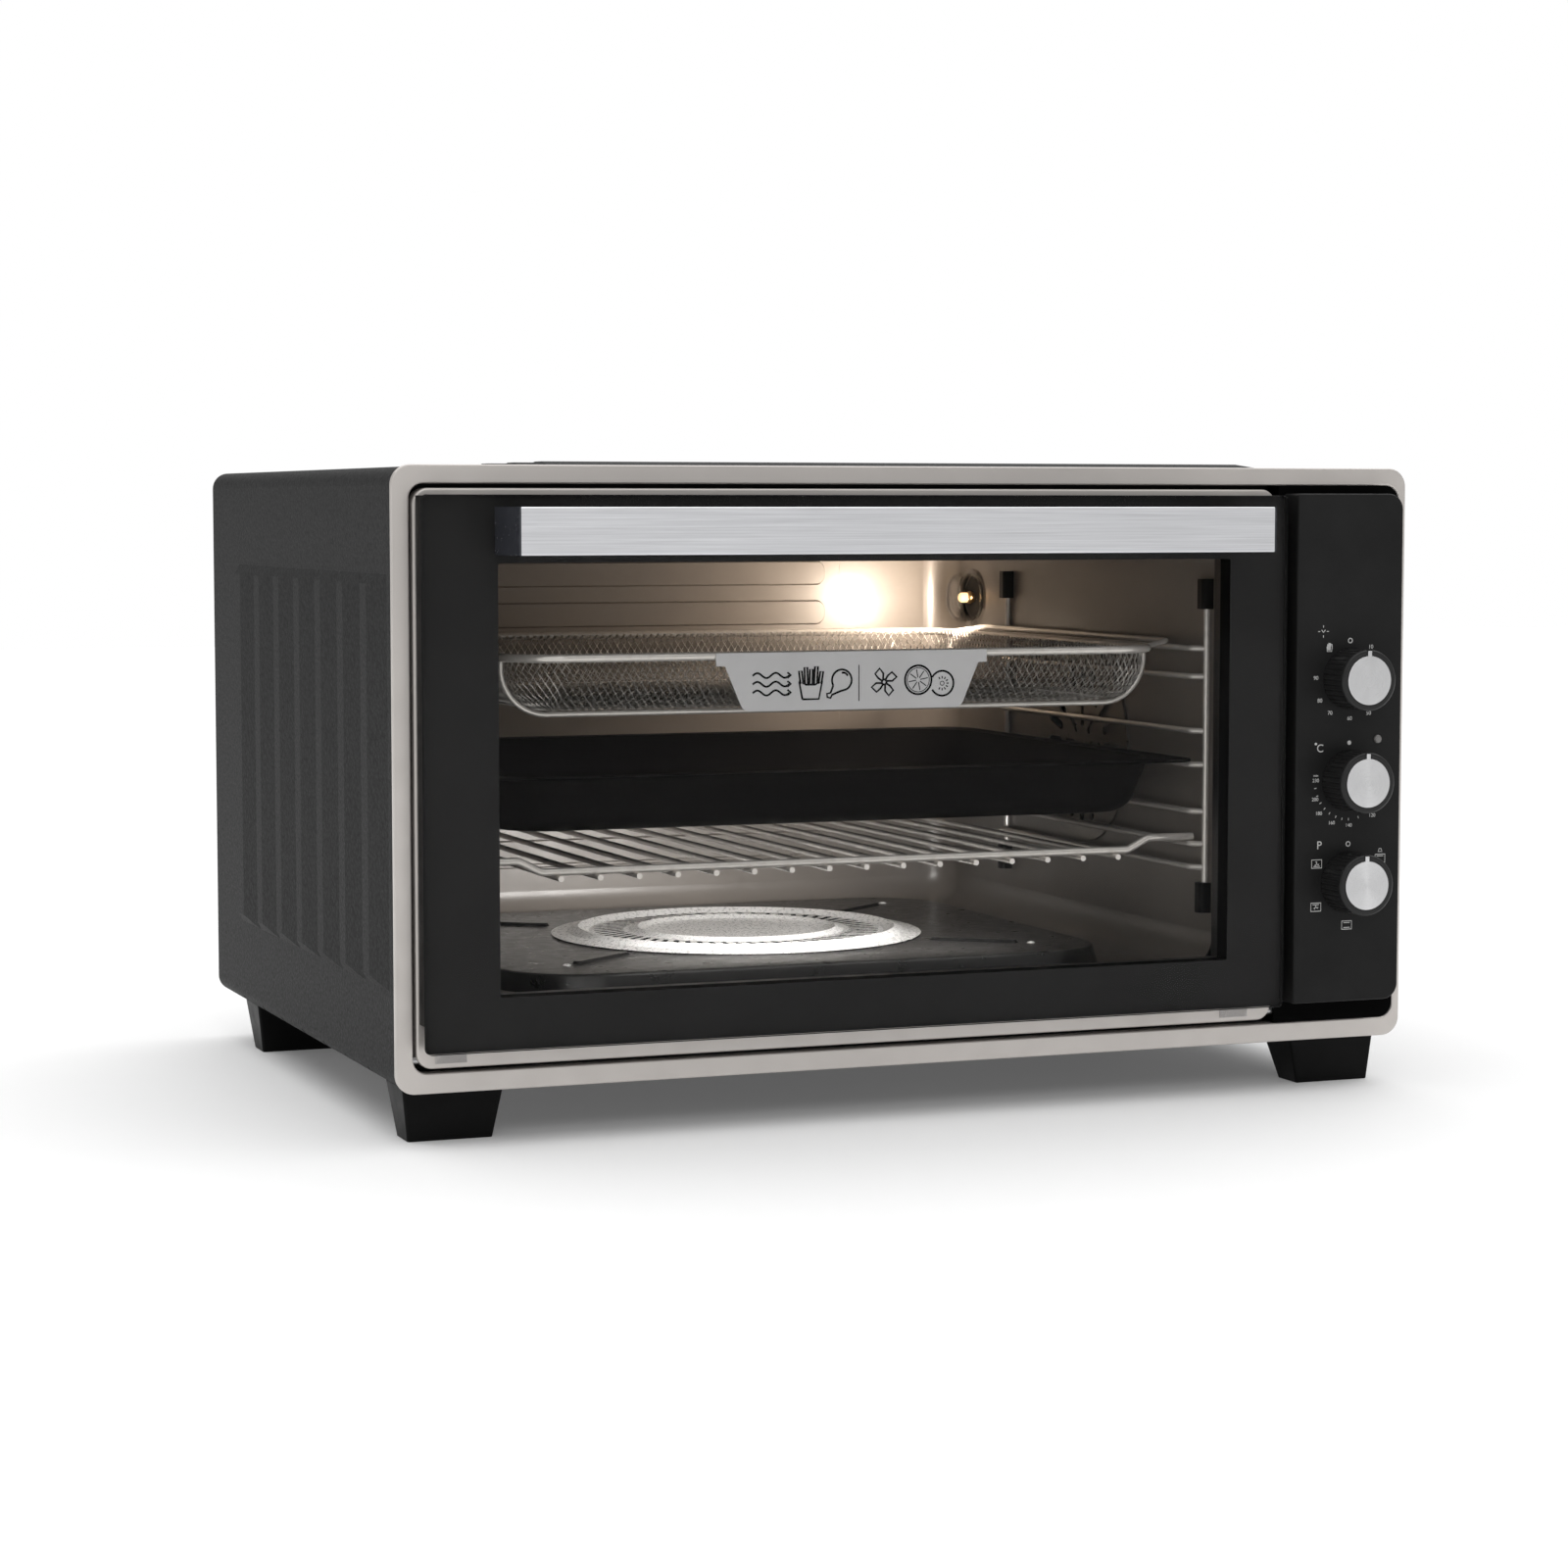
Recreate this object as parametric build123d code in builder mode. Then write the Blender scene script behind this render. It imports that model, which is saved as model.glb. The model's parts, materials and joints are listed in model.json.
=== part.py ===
from build123d import *
import os

# Countertop convection oven with a drop-down glass door, control panel on the right, air-fry basket,
# baking tray and wire rack.  Millimetres; +Z up, the front faces -Y, +X to the viewer's right.
# The origin is the middle of the bounding box, on the table.

os.makedirs("parts", exist_ok=True)

# ---------------------------------------------------------------- driving dimensions
WIDTH = 560.0            # front frame, left to right
FRAME_H = 305.5          # front frame, bottom to top
DEPTH = 400.0            # front frame face to the rear edge of the shell
FOOT_H = 26.0            # the body stands this far above the table
HANDLE_REACH = 55.0      # handle face in front of the frame face
GLAND_REACH = 8.0        # cord inlet behind the shell's rear edge
CAVITY_W, CAVITY_H = 415.0, 237.8
CAVITY_D0, CAVITY_D1 = 14.0, 360.0     # cavity front and back, behind the frame face
DOOR_X = -34.0           # centre of the door and the cavity
KNOB_X = 238.5           # the column of knobs
SHEET = 0.8              # sheet metal

FRONT_Y = HANDLE_REACH - (HANDLE_REACH + DEPTH + GLAND_REACH) / 2   # y of the frame face
FRAME_Z = FOOT_H + FRAME_H / 2


def behind(d):
    """Plane facing the front, d mm behind the frame face; its sketch axes are X and Z."""
    return Plane.XZ.offset(-(FRONT_Y + d))


def across(x):
    """Plane facing +X at x; its sketch axes are Y and Z."""
    return Plane.YZ.offset(x)


def y_at(d):
    return FRONT_Y + d


def keep(piece, name):
    piece.part.label = name
    export_step(piece.part, f"parts/{name}.step")


def mirrored(part, plane):
    """A copy of a finished piece on the other side of a plane."""
    with BuildPart() as copy:
        mirror(part, about=plane)
    return copy


MIDDLE = Plane.YZ
CAVITY_MIDDLE = Plane.YZ.offset(DOOR_X)

# ---------------------------------------------------------------- front frame
RING_LEFT, RING_RIGHT, RING_TOP, RING_BOTTOM = 8.9, 4.4, 9.1, 10.0
FRAME_R, OPENING_R = 10.0, 7.5
INNER_RETURN, OUTER_RETURN = 8.0, 2.0   # depths of the folded-back edges
FRAME_WEB = 1.2
opening_left = RING_LEFT - WIDTH / 2
opening_right = WIDTH / 2 - RING_RIGHT
opening_x = (opening_left + opening_right) / 2
opening_w = opening_right - opening_left
opening_h = FRAME_H - RING_TOP - RING_BOTTOM
opening_z = FOOT_H + RING_BOTTOM + opening_h / 2

HINGE_D, HINGE_Z = 4.0, 42.5           # door hinge axis
HINGE_PIN_R = 2.0
HINGE_BORE_R = 2.06

with BuildPart() as front_frame:
    with BuildSketch(behind(OUTER_RETURN)):
        with Locations((0, FRAME_Z)):
            RectangleRounded(WIDTH, FRAME_H, FRAME_R)
        with Locations((opening_x, opening_z)):
            RectangleRounded(opening_w, opening_h, OPENING_R, mode=Mode.SUBTRACT)
    extrude(amount=OUTER_RETURN)
    fillet(front_frame.faces().sort_by(Axis.Y)[0].edges(), 0.8)
    with BuildSketch(behind(OUTER_RETURN)):
        with Locations((0, FRAME_Z)):
            RectangleRounded(WIDTH - 2, FRAME_H - 2, FRAME_R - 1)
        with Locations((opening_x, opening_z)):
            RectangleRounded(opening_w + 2, opening_h + 2, OPENING_R + 1, mode=Mode.SUBTRACT)
    extrude(amount=OUTER_RETURN - FRAME_WEB, mode=Mode.SUBTRACT)
    with BuildSketch(behind(INNER_RETURN)):
        with Locations((opening_x, opening_z)):
            RectangleRounded(opening_w + 2, opening_h + 2, OPENING_R + 1)
            RectangleRounded(opening_w, opening_h, OPENING_R, mode=Mode.SUBTRACT)
    extrude(amount=INNER_RETURN - FRAME_WEB)
    with BuildSketch(across(opening_left - 2)):
        with Locations((y_at(HINGE_D), HINGE_Z)):
            Circle(HINGE_PIN_R + 0.2)
    extrude(amount=4, mode=Mode.SUBTRACT)
keep(front_frame, "front_frame")

# ---------------------------------------------------------------- outer shell with pressed ribs
SHELL_INSET = 1.0        # the shell stands this far inside the frame's outline
SHELL_FRONT = 1.6        # tucked just inside the frame's outer return
RIB_COUNT, RIB_PITCH, RIB_FIRST = 7, 46.2, 46.0
RIB_H, RIB_RISE, RIB_CREST, RIB_FALL = 3.2, 27.0, 12.0, 4.0
RIB_TAPER = 5.0
SIDE_RIB_LEN, SIDE_RIB_Z = 203.0, 177.0
TOP_RIB_LEN, TOP_RIB_X = 400.0, 3.5
SHELL_FOOT_W = 62.0      # the shell's turned-in bottom edges carry the feet
NOTCH_FIRST, NOTCH_W = 61.3, 2.4
shell_w = WIDTH - 2 * SHELL_INSET
shell_h = FRAME_H - 2 * SHELL_INSET
shell_bottom = FOOT_H + SHELL_INSET
shell_top = shell_bottom + shell_h


def pressed_rib(length):
    """A long rib, proud of the YZ plane towards +X, with a ramp in front and sloped ends."""
    start = -RIB_RISE - RIB_CREST / 2
    with BuildPart() as rib:
        with BuildSketch(Plane.XY.offset(-length / 2)):
            with BuildLine():
                Polyline((-0.3, start), (0, start), (RIB_H, -RIB_CREST / 2), (RIB_H, RIB_CREST / 2),
                         (0, RIB_CREST / 2 + RIB_FALL), (-0.3, RIB_CREST / 2 + RIB_FALL), close=True)
            make_face()
        extrude(amount=length)
        with BuildSketch(Plane.XZ.offset(-60)):
            with BuildLine():
                Polyline((-0.3, -length / 2), (0, -length / 2), (RIB_H, RIB_TAPER - length / 2),
                         (RIB_H, length / 2 - RIB_TAPER), (0, length / 2), (-0.3, length / 2), close=True)
            make_face()
        extrude(amount=120, mode=Mode.INTERSECT)
    return rib.part


side_rib = pressed_rib(SIDE_RIB_LEN)
left_rib = mirrored(side_rib, MIDDLE).part
top_rib = pressed_rib(TOP_RIB_LEN)
rib_ys = [y_at(RIB_FIRST + i * RIB_PITCH) for i in range(RIB_COUNT)]
notch_ys = [y_at(NOTCH_FIRST + i * RIB_PITCH) for i in range(RIB_COUNT)]


def emboss(inset, how):
    """Ribs on both sides and the top: added outside, and taken from the inside one sheet deeper."""
    side = shell_w / 2 - inset
    with Locations(*[(side, y, SIDE_RIB_Z) for y in rib_ys]):
        add(side_rib, mode=how)
    with Locations(*[(-side, y, SIDE_RIB_Z) for y in rib_ys]):
        add(left_rib, mode=how)
    with Locations(*[Location((TOP_RIB_X, y, shell_top - inset), (0, -90, 0)) for y in rib_ys]):
        add(top_rib, mode=how)


with BuildPart() as outer_shell:
    with BuildSketch(behind(DEPTH)):
        with Locations((0, FRAME_Z)):
            RectangleRounded(shell_w, shell_h, FRAME_R - SHELL_INSET)
            RectangleRounded(shell_w - 2 * SHEET, shell_h - 2 * SHEET, FRAME_R - SHELL_INSET - SHEET,
                             mode=Mode.SUBTRACT)
        with Locations((0, shell_bottom)):
            Rectangle(shell_w - 2 * SHELL_FOOT_W, 8, mode=Mode.SUBTRACT)
    extrude(amount=DEPTH - SHELL_FRONT)
    emboss(0, Mode.ADD)
    emboss(SHEET, Mode.SUBTRACT)
    with Locations(*[(side * shell_w / 2, y, shell_bottom) for side in (-1, 1) for y in notch_ys]):
        Box(14, NOTCH_W, 9, mode=Mode.SUBTRACT)
keep(outer_shell, "outer_shell")

# ---------------------------------------------------------------- base pan, front chassis, rear cover
PAN_FRONT, PAN_REAR = 9.0, 383.0
CHASSIS_D0 = 13.0
COVER_D = 394.0
COVER_RIM = 9.5
inner_w = shell_w - 2 * SHEET
inner_h = shell_h - 2 * SHEET
pan_z = shell_bottom + SHEET

with BuildPart() as base_pan:
    with BuildSketch(Plane.XY.offset(pan_z)):
        with Locations((0, y_at((PAN_FRONT + PAN_REAR) / 2))):
            Rectangle(inner_w - 18, PAN_REAR - PAN_FRONT)
            with GridLocations(52, 26, 7, 11):
                SlotOverall(34, 5, mode=Mode.SUBTRACT)
    extrude(amount=SHEET)
keep(base_pan, "base_pan")

cavity_z = FOOT_H + 38.5 + CAVITY_H / 2
CAVITY_R = 20.0
control_slot_z = cavity_z - 16

with BuildPart() as chassis_front:
    with BuildSketch(behind(CAVITY_D0)):
        with Locations((0, pan_z + SHEET + (inner_h - SHEET) / 2)):
            RectangleRounded(inner_w - 1.0, inner_h - SHEET - 1.2, 7.5)
        with Locations((DOOR_X, cavity_z)):
            RectangleRounded(CAVITY_W, CAVITY_H, CAVITY_R, mode=Mode.SUBTRACT)
        with Locations((KNOB_X, control_slot_z)):
            RectangleRounded(54, 180, 4, mode=Mode.SUBTRACT)
    extrude(amount=CAVITY_D0 - CHASSIS_D0)
keep(chassis_front, "chassis_front")

GLAND_X, GLAND_Z, GLAND_R = 232.0, 62.0, 7.0
with BuildPart() as rear_cover:
    with BuildSketch(behind(COVER_D + SHEET)):
        with Locations((0, FRAME_Z)):
            RectangleRounded(inner_w - 0.6, inner_h - 0.6, 7.8)
    extrude(amount=SHEET)
    with BuildSketch(behind(COVER_D)):
        with Locations((0, FRAME_Z)):
            RectangleRounded(inner_w - 0.6, inner_h - 0.6, 7.8)
            RectangleRounded(inner_w - 0.6 - 2 * SHEET, inner_h - 0.6 - 2 * SHEET, 7.0, mode=Mode.SUBTRACT)
    extrude(amount=COVER_RIM)
    with BuildSketch(behind(COVER_D + SHEET)):
        with Locations((-150, 262), (210, 262)):
            with GridLocations(0, 11, 1, 7):
                SlotOverall(96, 4.5, mode=Mode.ADD)
        with Locations((-150, 92)):
            with GridLocations(0, 11, 1, 5):
                SlotOverall(96, 4.5, mode=Mode.ADD)
        with Locations((GLAND_X, GLAND_Z)):
            Circle(GLAND_R + 0.1)
    extrude(amount=SHEET, mode=Mode.SUBTRACT)
keep(rear_cover, "rear_cover")

with BuildPart() as cord_gland:
    with BuildSketch(behind(COVER_D - 6)):
        with Locations((GLAND_X, GLAND_Z)):
            Circle(GLAND_R)
    extrude(amount=-(DEPTH + GLAND_REACH - COVER_D + 6))
    with BuildSketch(behind(COVER_D + SHEET)):
        with Locations((GLAND_X, GLAND_Z)):
            Circle(GLAND_R + 3.5)
    extrude(amount=-3)
    fillet(cord_gland.edges().filter_by(GeomType.CIRCLE).group_by(Axis.Y)[-1], 1.5)
    with BuildSketch(behind(COVER_D - 6)):
        with Locations((GLAND_X, GLAND_Z)):
            Circle(3.6)
    extrude(amount=-40, mode=Mode.SUBTRACT)
keep(cord_gland, "cord_gland")

# ---------------------------------------------------------------- feet
FOOT_TOP = (52.0, 32.0)
FOOT_BOTTOM = (43.5, 20.5)
foot_top_z = shell_bottom
foot_spots = {
    "foot_front_left": (-248.2, 26.0, 30.0),
    "foot_front_right": (248.2, 26.0, 30.0),
    "foot_rear_left": (-248.2, 336.5, 340.5),
    "foot_rear_right": (248.2, 336.5, 340.5),
}
for name, (x, bottom_d, top_d) in foot_spots.items():
    inward = 1.4 if x < 0 else -1.4
    with BuildPart() as foot:
        with BuildSketch(Plane.XY):
            with Locations((x, y_at(bottom_d))):
                RectangleRounded(*FOOT_BOTTOM, 1.5)
        with BuildSketch(Plane.XY.offset(foot_top_z)):
            with Locations((x + inward, y_at(top_d))):
                RectangleRounded(*FOOT_TOP, 1.5)
        loft()
        fillet(foot.faces().sort_by(Axis.Z)[0].edges(), 0.8)
    keep(foot, name)

# ---------------------------------------------------------------- cooking cavity
BACK_R = 18.0
FAN_D, FAN_Z = 170.0, 176.0
FAN_HOLE_R = 50.0
LAMP_D, LAMP_Z, LAMP_HOLE_R = 323.0, 256.0, 14.0
PAD_W, PAD_BOTTOM, PAD_TOP = 268.0, 96.0, 286.0
EMBOSS = 2.0
cavity_right = DOOR_X + CAVITY_W / 2
cavity_left = DOOR_X - CAVITY_W / 2
cavity_floor = cavity_z - CAVITY_H / 2
cavity_top = cavity_z + CAVITY_H / 2
UPPER_HEATER_Z = cavity_top - 16
HEATER_R = 3.25
LOWER_HEATER_Z = cavity_floor + 4.4
UPPER_TERMINALS = (-75.0, 7.0)
LOWER_TERMINALS = (-54.0, -14.0)
LOWER_TERMINAL_Y = y_at(300)


def cavity_block(grow):
    """The cavity's space as a solid, grown outwards by the sheet's thickness."""
    with BuildPart() as block:
        with BuildSketch(behind(CAVITY_D1 + grow)):
            with Locations((DOOR_X, cavity_z)):
                RectangleRounded(CAVITY_W + 2 * grow, CAVITY_H + 2 * grow, CAVITY_R + grow)
        extrude(amount=CAVITY_D1 + grow - CAVITY_D0)
        fillet(block.faces().sort_by(Axis.Y)[-1].edges(), BACK_R + grow)
    return block.part


with BuildPart() as cavity_tub:
    add(cavity_block(SHEET))
    add(cavity_block(0), mode=Mode.SUBTRACT)
    with BuildSketch(behind(CAVITY_D1 + SHEET)):
        with Locations((DOOR_X, (PAD_BOTTOM + PAD_TOP) / 2)):
            RectangleRounded(PAD_W, PAD_TOP - PAD_BOTTOM, 9)
    extrude(amount=EMBOSS + SHEET, taper=25)
    with BuildSketch(behind(CAVITY_D1 + SHEET)):
        with Locations((DOOR_X, (PAD_BOTTOM + PAD_TOP) / 2)):
            RectangleRounded(PAD_W - 3, PAD_TOP - PAD_BOTTOM - 3, 7.5)
    extrude(amount=EMBOSS, taper=25, mode=Mode.SUBTRACT)
    with BuildSketch(behind(CAVITY_D1 - EMBOSS)):
        with Locations(*[(DOOR_X, z) for z in (271.0, 247.0, 106.0)]):
            RectangleRounded(PAD_W - 22, 15, 6)
    extrude(amount=EMBOSS, taper=25)
    with BuildSketch(behind(CAVITY_D1 - EMBOSS + SHEET)):
        with Locations(*[(DOOR_X, z) for z in (271.0, 247.0, 106.0)]):
            RectangleRounded(PAD_W - 25, 12, 4.5)
    extrude(amount=EMBOSS, taper=25, mode=Mode.SUBTRACT)
    with BuildSketch(across(cavity_right - 4)):
        with Locations((y_at(FAN_D), FAN_Z)):
            Circle(FAN_HOLE_R)
        with Locations((y_at(LAMP_D), LAMP_Z)):
            Circle(LAMP_HOLE_R)
    extrude(amount=8, mode=Mode.SUBTRACT)
    with BuildSketch(behind(CAVITY_D1 + 2)):
        with Locations(*[(x, UPPER_HEATER_Z) for x in UPPER_TERMINALS]):
            Circle(HEATER_R + 0.4)
    extrude(amount=8, mode=Mode.SUBTRACT)
    with BuildSketch(Plane.XY.offset(cavity_floor - 2)):
        with Locations(*[(x, LOWER_TERMINAL_Y) for x in LOWER_TERMINALS]):
            Circle(HEATER_R + 0.4)
    extrude(amount=4, mode=Mode.SUBTRACT)
keep(cavity_tub, "cavity_tub")

GASKET_W = 6.0
with BuildPart() as door_gasket:
    with BuildSketch(behind(CHASSIS_D0)):
        with Locations((DOOR_X, cavity_z)):
            RectangleRounded(CAVITY_W + 6 + 2 * GASKET_W, CAVITY_H + 6 + 2 * GASKET_W, CAVITY_R + 9)
            RectangleRounded(CAVITY_W + 6, CAVITY_H + 6, CAVITY_R + 3, mode=Mode.SUBTRACT)
    extrude(amount=2.6)
    fillet(door_gasket.faces().sort_by(Axis.Y)[0].edges(), 1.1)
keep(door_gasket, "door_gasket")

# ---------------------------------------------------------------- raised floor plate and diffuser disc
PLATE_W, PLATE_D0, PLATE_D1 = 336.0, 45.0, 325.0
PLATE_R = 44.0
PLATE_RISE = 9.0
PLATE_T = 1.0
DISC_R = 103.0
disc_y = y_at((PLATE_D0 + PLATE_D1) / 2)
plate_top = cavity_floor + PLATE_RISE + PLATE_T

with BuildPart() as base_plate:
    with BuildSketch(Plane.XY.offset(cavity_floor)):
        with Locations((DOOR_X, disc_y)):
            RectangleRounded(PLATE_W + 6, PLATE_D1 - PLATE_D0 + 6, PLATE_R + 3)
    extrude(amount=PLATE_RISE + PLATE_T, taper=17)
    top_edges = base_plate.faces().sort_by(Axis.Z)[-1].edges()
    fillet(top_edges, 2.0)
    with BuildSketch(Plane.XY.offset(cavity_floor)):
        with Locations((DOOR_X, disc_y)):
            RectangleRounded(PLATE_W + 4, PLATE_D1 - PLATE_D0 + 4, PLATE_R + 2)
    extrude(amount=PLATE_RISE, taper=17, mode=Mode.SUBTRACT)
    # diagonal stiffening beads between the disc and the corners
    for corner in (38, 142, 218, 322):
        with BuildSketch(Plane.XY.offset(plate_top)):
            with Locations(Location((DOOR_X, disc_y), corner)):
                with Locations((DISC_R + 33, 0)):
                    SlotOverall(50, 7)
        extrude(amount=1.6, taper=40)
    # hole under the disc
    with BuildSketch(Plane.XY.offset(cavity_floor)):
        with Locations((DOOR_X, disc_y)):
            Circle(DISC_R - 14)
    extrude(amount=PLATE_RISE + PLATE_T, mode=Mode.SUBTRACT)
keep(base_plate, "base_plate")

SLOT_COUNT = 60
disc_section = Plane(origin=(DOOR_X, disc_y, plate_top), x_dir=(1, 0, 0), z_dir=(0, -1, 0))
with BuildPart() as diffuser_disc:
    # section through the disc: flat rim, two raised beads and a slightly dished centre
    with BuildSketch(disc_section):
        with BuildLine():
            Polyline((0, 1.2), (44, 1.6), (50, 2.4), (55, 4.2), (60, 2.4), (82, 2.0), (88, 4.6), (94, 2.0),
                     (DISC_R, 0.9), (DISC_R, 0), (0, 0), close=True)
        make_face()
    revolve(axis=Axis((DOOR_X, disc_y, 0), (0, 0, 1)))
    with BuildSketch(Plane.XY.offset(plate_top)):
        with Locations((DOOR_X, disc_y)):
            with PolarLocations(71, SLOT_COUNT):
                with Locations(Location((0, 0), 24)):
                    SlotOverall(18, 3.0)
    extrude(amount=8, mode=Mode.SUBTRACT)
keep(diffuser_disc, "diffuser_disc")

# ---------------------------------------------------------------- heating elements


def tube_along(points, radius, bend):
    """A round rod along straight runs joined by bends of one radius, or one radius per corner."""
    with BuildPart() as rod:
        with BuildLine() as path:
            FilletPolyline(*points, radius=bend)
        start = Plane(origin=path.line @ 0, z_dir=path.line % 0)
        with BuildSketch(start):
            Circle(radius)
        sweep()
    return rod.part


UP_FRONT, UP_BACK = y_at(60), y_at(325)
UP_OUT, UP_IN = 165.0, 70.0
upper_points = [
    (UPPER_TERMINALS[0], y_at(380), UPPER_HEATER_Z),
    (UPPER_TERMINALS[0], UP_FRONT + 60, UPPER_HEATER_Z),
    (DOOR_X - 110, UP_FRONT + 60, UPPER_HEATER_Z),
    (DOOR_X - 110, UP_BACK, UPPER_HEATER_Z),
    (DOOR_X - UP_OUT, UP_BACK, UPPER_HEATER_Z),
    (DOOR_X - UP_OUT, UP_FRONT, UPPER_HEATER_Z),
    (DOOR_X + UP_OUT, UP_FRONT, UPPER_HEATER_Z),
    (DOOR_X + UP_OUT, UP_BACK, UPPER_HEATER_Z),
    (DOOR_X + 110, UP_BACK, UPPER_HEATER_Z),
    (DOOR_X + 110, UP_FRONT + 60, UPPER_HEATER_Z),
    (UPPER_TERMINALS[1], UP_FRONT + 60, UPPER_HEATER_Z),
    (UPPER_TERMINALS[1], y_at(380), UPPER_HEATER_Z),
]
with BuildPart() as upper_heater:
    add(tube_along(upper_points, HEATER_R, 14))
keep(upper_heater, "upper_heater")

RING_R = 58.0
lower_end = cavity_floor - 20
lower_points = [
    (LOWER_TERMINALS[0], LOWER_TERMINAL_Y, lower_end),
    (LOWER_TERMINALS[0], LOWER_TERMINAL_Y, LOWER_HEATER_Z),
    (LOWER_TERMINALS[0], disc_y + RING_R, LOWER_HEATER_Z),
    (DOOR_X - RING_R, disc_y + RING_R, LOWER_HEATER_Z),
    (DOOR_X - RING_R, disc_y - RING_R, LOWER_HEATER_Z),
    (DOOR_X + RING_R, disc_y - RING_R, LOWER_HEATER_Z),
    (DOOR_X + RING_R, disc_y + RING_R, LOWER_HEATER_Z),
    (LOWER_TERMINALS[1], disc_y + RING_R, LOWER_HEATER_Z),
    (LOWER_TERMINALS[1], LOWER_TERMINAL_Y, LOWER_HEATER_Z),
    (LOWER_TERMINALS[1], LOWER_TERMINAL_Y, lower_end),
]
with BuildPart() as lower_heater:
    add(tube_along(lower_points, HEATER_R, [4, 10, 26, 50, 50, 26, 10, 4]))
keep(lower_heater, "lower_heater")

with BuildPart() as heater_brackets:
    for x in (DOOR_X - UP_OUT, DOOR_X + UP_OUT):
        with BuildSketch(behind(190)):
            with Locations((x, UPPER_HEATER_Z)):
                Circle(HEATER_R + 1.4)
            with Locations((x, (UPPER_HEATER_Z + cavity_top) / 2 + 1.5)):
                Rectangle(2.4, cavity_top - UPPER_HEATER_Z - 3)
            with Locations((x, cavity_top - 0.7)):
                Rectangle(16, 1.4)
            with Locations((x, UPPER_HEATER_Z)):
                Circle(HEATER_R, mode=Mode.SUBTRACT)
        extrude(amount=10)
keep(heater_brackets, "heater_brackets")

# ---------------------------------------------------------------- ladder racks at the cavity's sides
LADDER_D0, LADDER_D1 = 20.0, 270.0
LADDER_Z0, LADDER_Z1 = 108.0, 260.0
UPRIGHT_R, RUNG_R = 1.8, 1.6
upright_x = cavity_right - UPRIGHT_R - 0.2
RUNG_X = 165.5
RUNG_ZS = (236.0, 221.0, 192.0, 174.0, 149.0, 131.5, 119.0)
BASKET_RUNG, TRAY_RUNG, GRID_RUNG = RUNG_ZS[0], RUNG_ZS[3], RUNG_ZS[5]

with BuildPart() as ladder_rack_right:
    for d in (LADDER_D0, LADDER_D1):
        with BuildSketch(Plane.XY.offset(LADDER_Z0)):
            with Locations((upright_x, y_at(d))):
                Circle(UPRIGHT_R)
        extrude(amount=LADDER_Z1 - LADDER_Z0)
    for z in RUNG_ZS:
        points = [(upright_x, y_at(LADDER_D0), z), (RUNG_X, y_at(LADDER_D0 + 6), z),
                  (RUNG_X, y_at(LADDER_D1 - 6), z), (upright_x, y_at(LADDER_D1), z)]
        add(tube_along(points, RUNG_R, 3))
keep(ladder_rack_right, "ladder_rack_right")
ladder_rack_left = mirrored(ladder_rack_right.part, CAVITY_MIDDLE)
keep(ladder_rack_left, "ladder_rack_left")

with BuildPart() as rack_holders:
    for z in (LADDER_Z0 - 5, LADDER_Z1 + 5):
        for d in (LADDER_D0, LADDER_D1):
            with Locations((cavity_right - 3.4, y_at(d), z)):
                Box(6.4, 8, 16)
    for d in (LADDER_D0, LADDER_D1):
        with Locations((upright_x, y_at(d), (LADDER_Z0 + LADDER_Z1) / 2)):
            Cylinder(UPRIGHT_R, LADDER_Z1 - LADDER_Z0, mode=Mode.SUBTRACT)
    fillet(rack_holders.edges().filter_by(Axis.Z).group_by(Axis.X)[0], 2)
    mirror(about=CAVITY_MIDDLE)
keep(rack_holders, "rack_holders")

# ---------------------------------------------------------------- cavity lamp
LENS_R = 15.0
lamp_y = y_at(LAMP_D)
wall_x = cavity_right


def side_disc(x0, x1, y, z, radius, mode=Mode.ADD):
    """A cylinder lying along X from x0 to x1."""
    with Locations(Location(((x0 + x1) / 2, y, z), (0, 90, 0))):
        Cylinder(radius, x1 - x0, mode=mode)


with BuildPart() as lens_space:
    side_disc(wall_x - 12.2, wall_x, lamp_y, LAMP_Z, LENS_R - 2)
    fillet(lens_space.faces().sort_by(Axis.X)[0].edges(), 3.8)

with BuildPart() as lamp_lens:
    side_disc(wall_x - 3, wall_x, lamp_y, LAMP_Z, LENS_R + 2.5)
    side_disc(wall_x - 14, wall_x - 3, lamp_y, LAMP_Z, LENS_R)
    fillet(lamp_lens.faces().sort_by(Axis.X)[0].edges(), 5)
    add(lens_space.part, mode=Mode.SUBTRACT)
keep(lamp_lens, "lamp_lens")

with BuildPart() as lamp_socket:
    side_disc(wall_x - 1, wall_x + SHEET, lamp_y, LAMP_Z, LENS_R - 3.4)
    side_disc(wall_x + SHEET, wall_x + 3, lamp_y, LAMP_Z, LENS_R + 3)
    side_disc(wall_x + 3, wall_x + 30, lamp_y, LAMP_Z, LENS_R - 3)
    side_disc(wall_x - 2, wall_x + 12, lamp_y, LAMP_Z, 3.1, Mode.SUBTRACT)
keep(lamp_socket, "lamp_socket")

with BuildPart() as lamp_bulb:
    side_disc(wall_x - 10.5, wall_x + 12, lamp_y, LAMP_Z, 3.0)
    fillet(lamp_bulb.faces().sort_by(Axis.X)[0].edges(), 2.4)
keep(lamp_bulb, "lamp_bulb")

# ---------------------------------------------------------------- convection fan on the right wall
fan_y = y_at(FAN_D)
FAN_COVER_R = 56.0
with BuildPart() as fan_cover:
    side_disc(wall_x - 1.2, wall_x, fan_y, FAN_Z, FAN_COVER_R)
    with BuildSketch(across(wall_x - 1.2)):
        with Locations((fan_y, FAN_Z)):
            with PolarLocations(16, 8):
                SlotOverall(13, 4)
            with PolarLocations(36, 20):
                SlotOverall(18, 5)
    extrude(amount=1.2, mode=Mode.SUBTRACT)
keep(fan_cover, "fan_cover")

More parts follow.
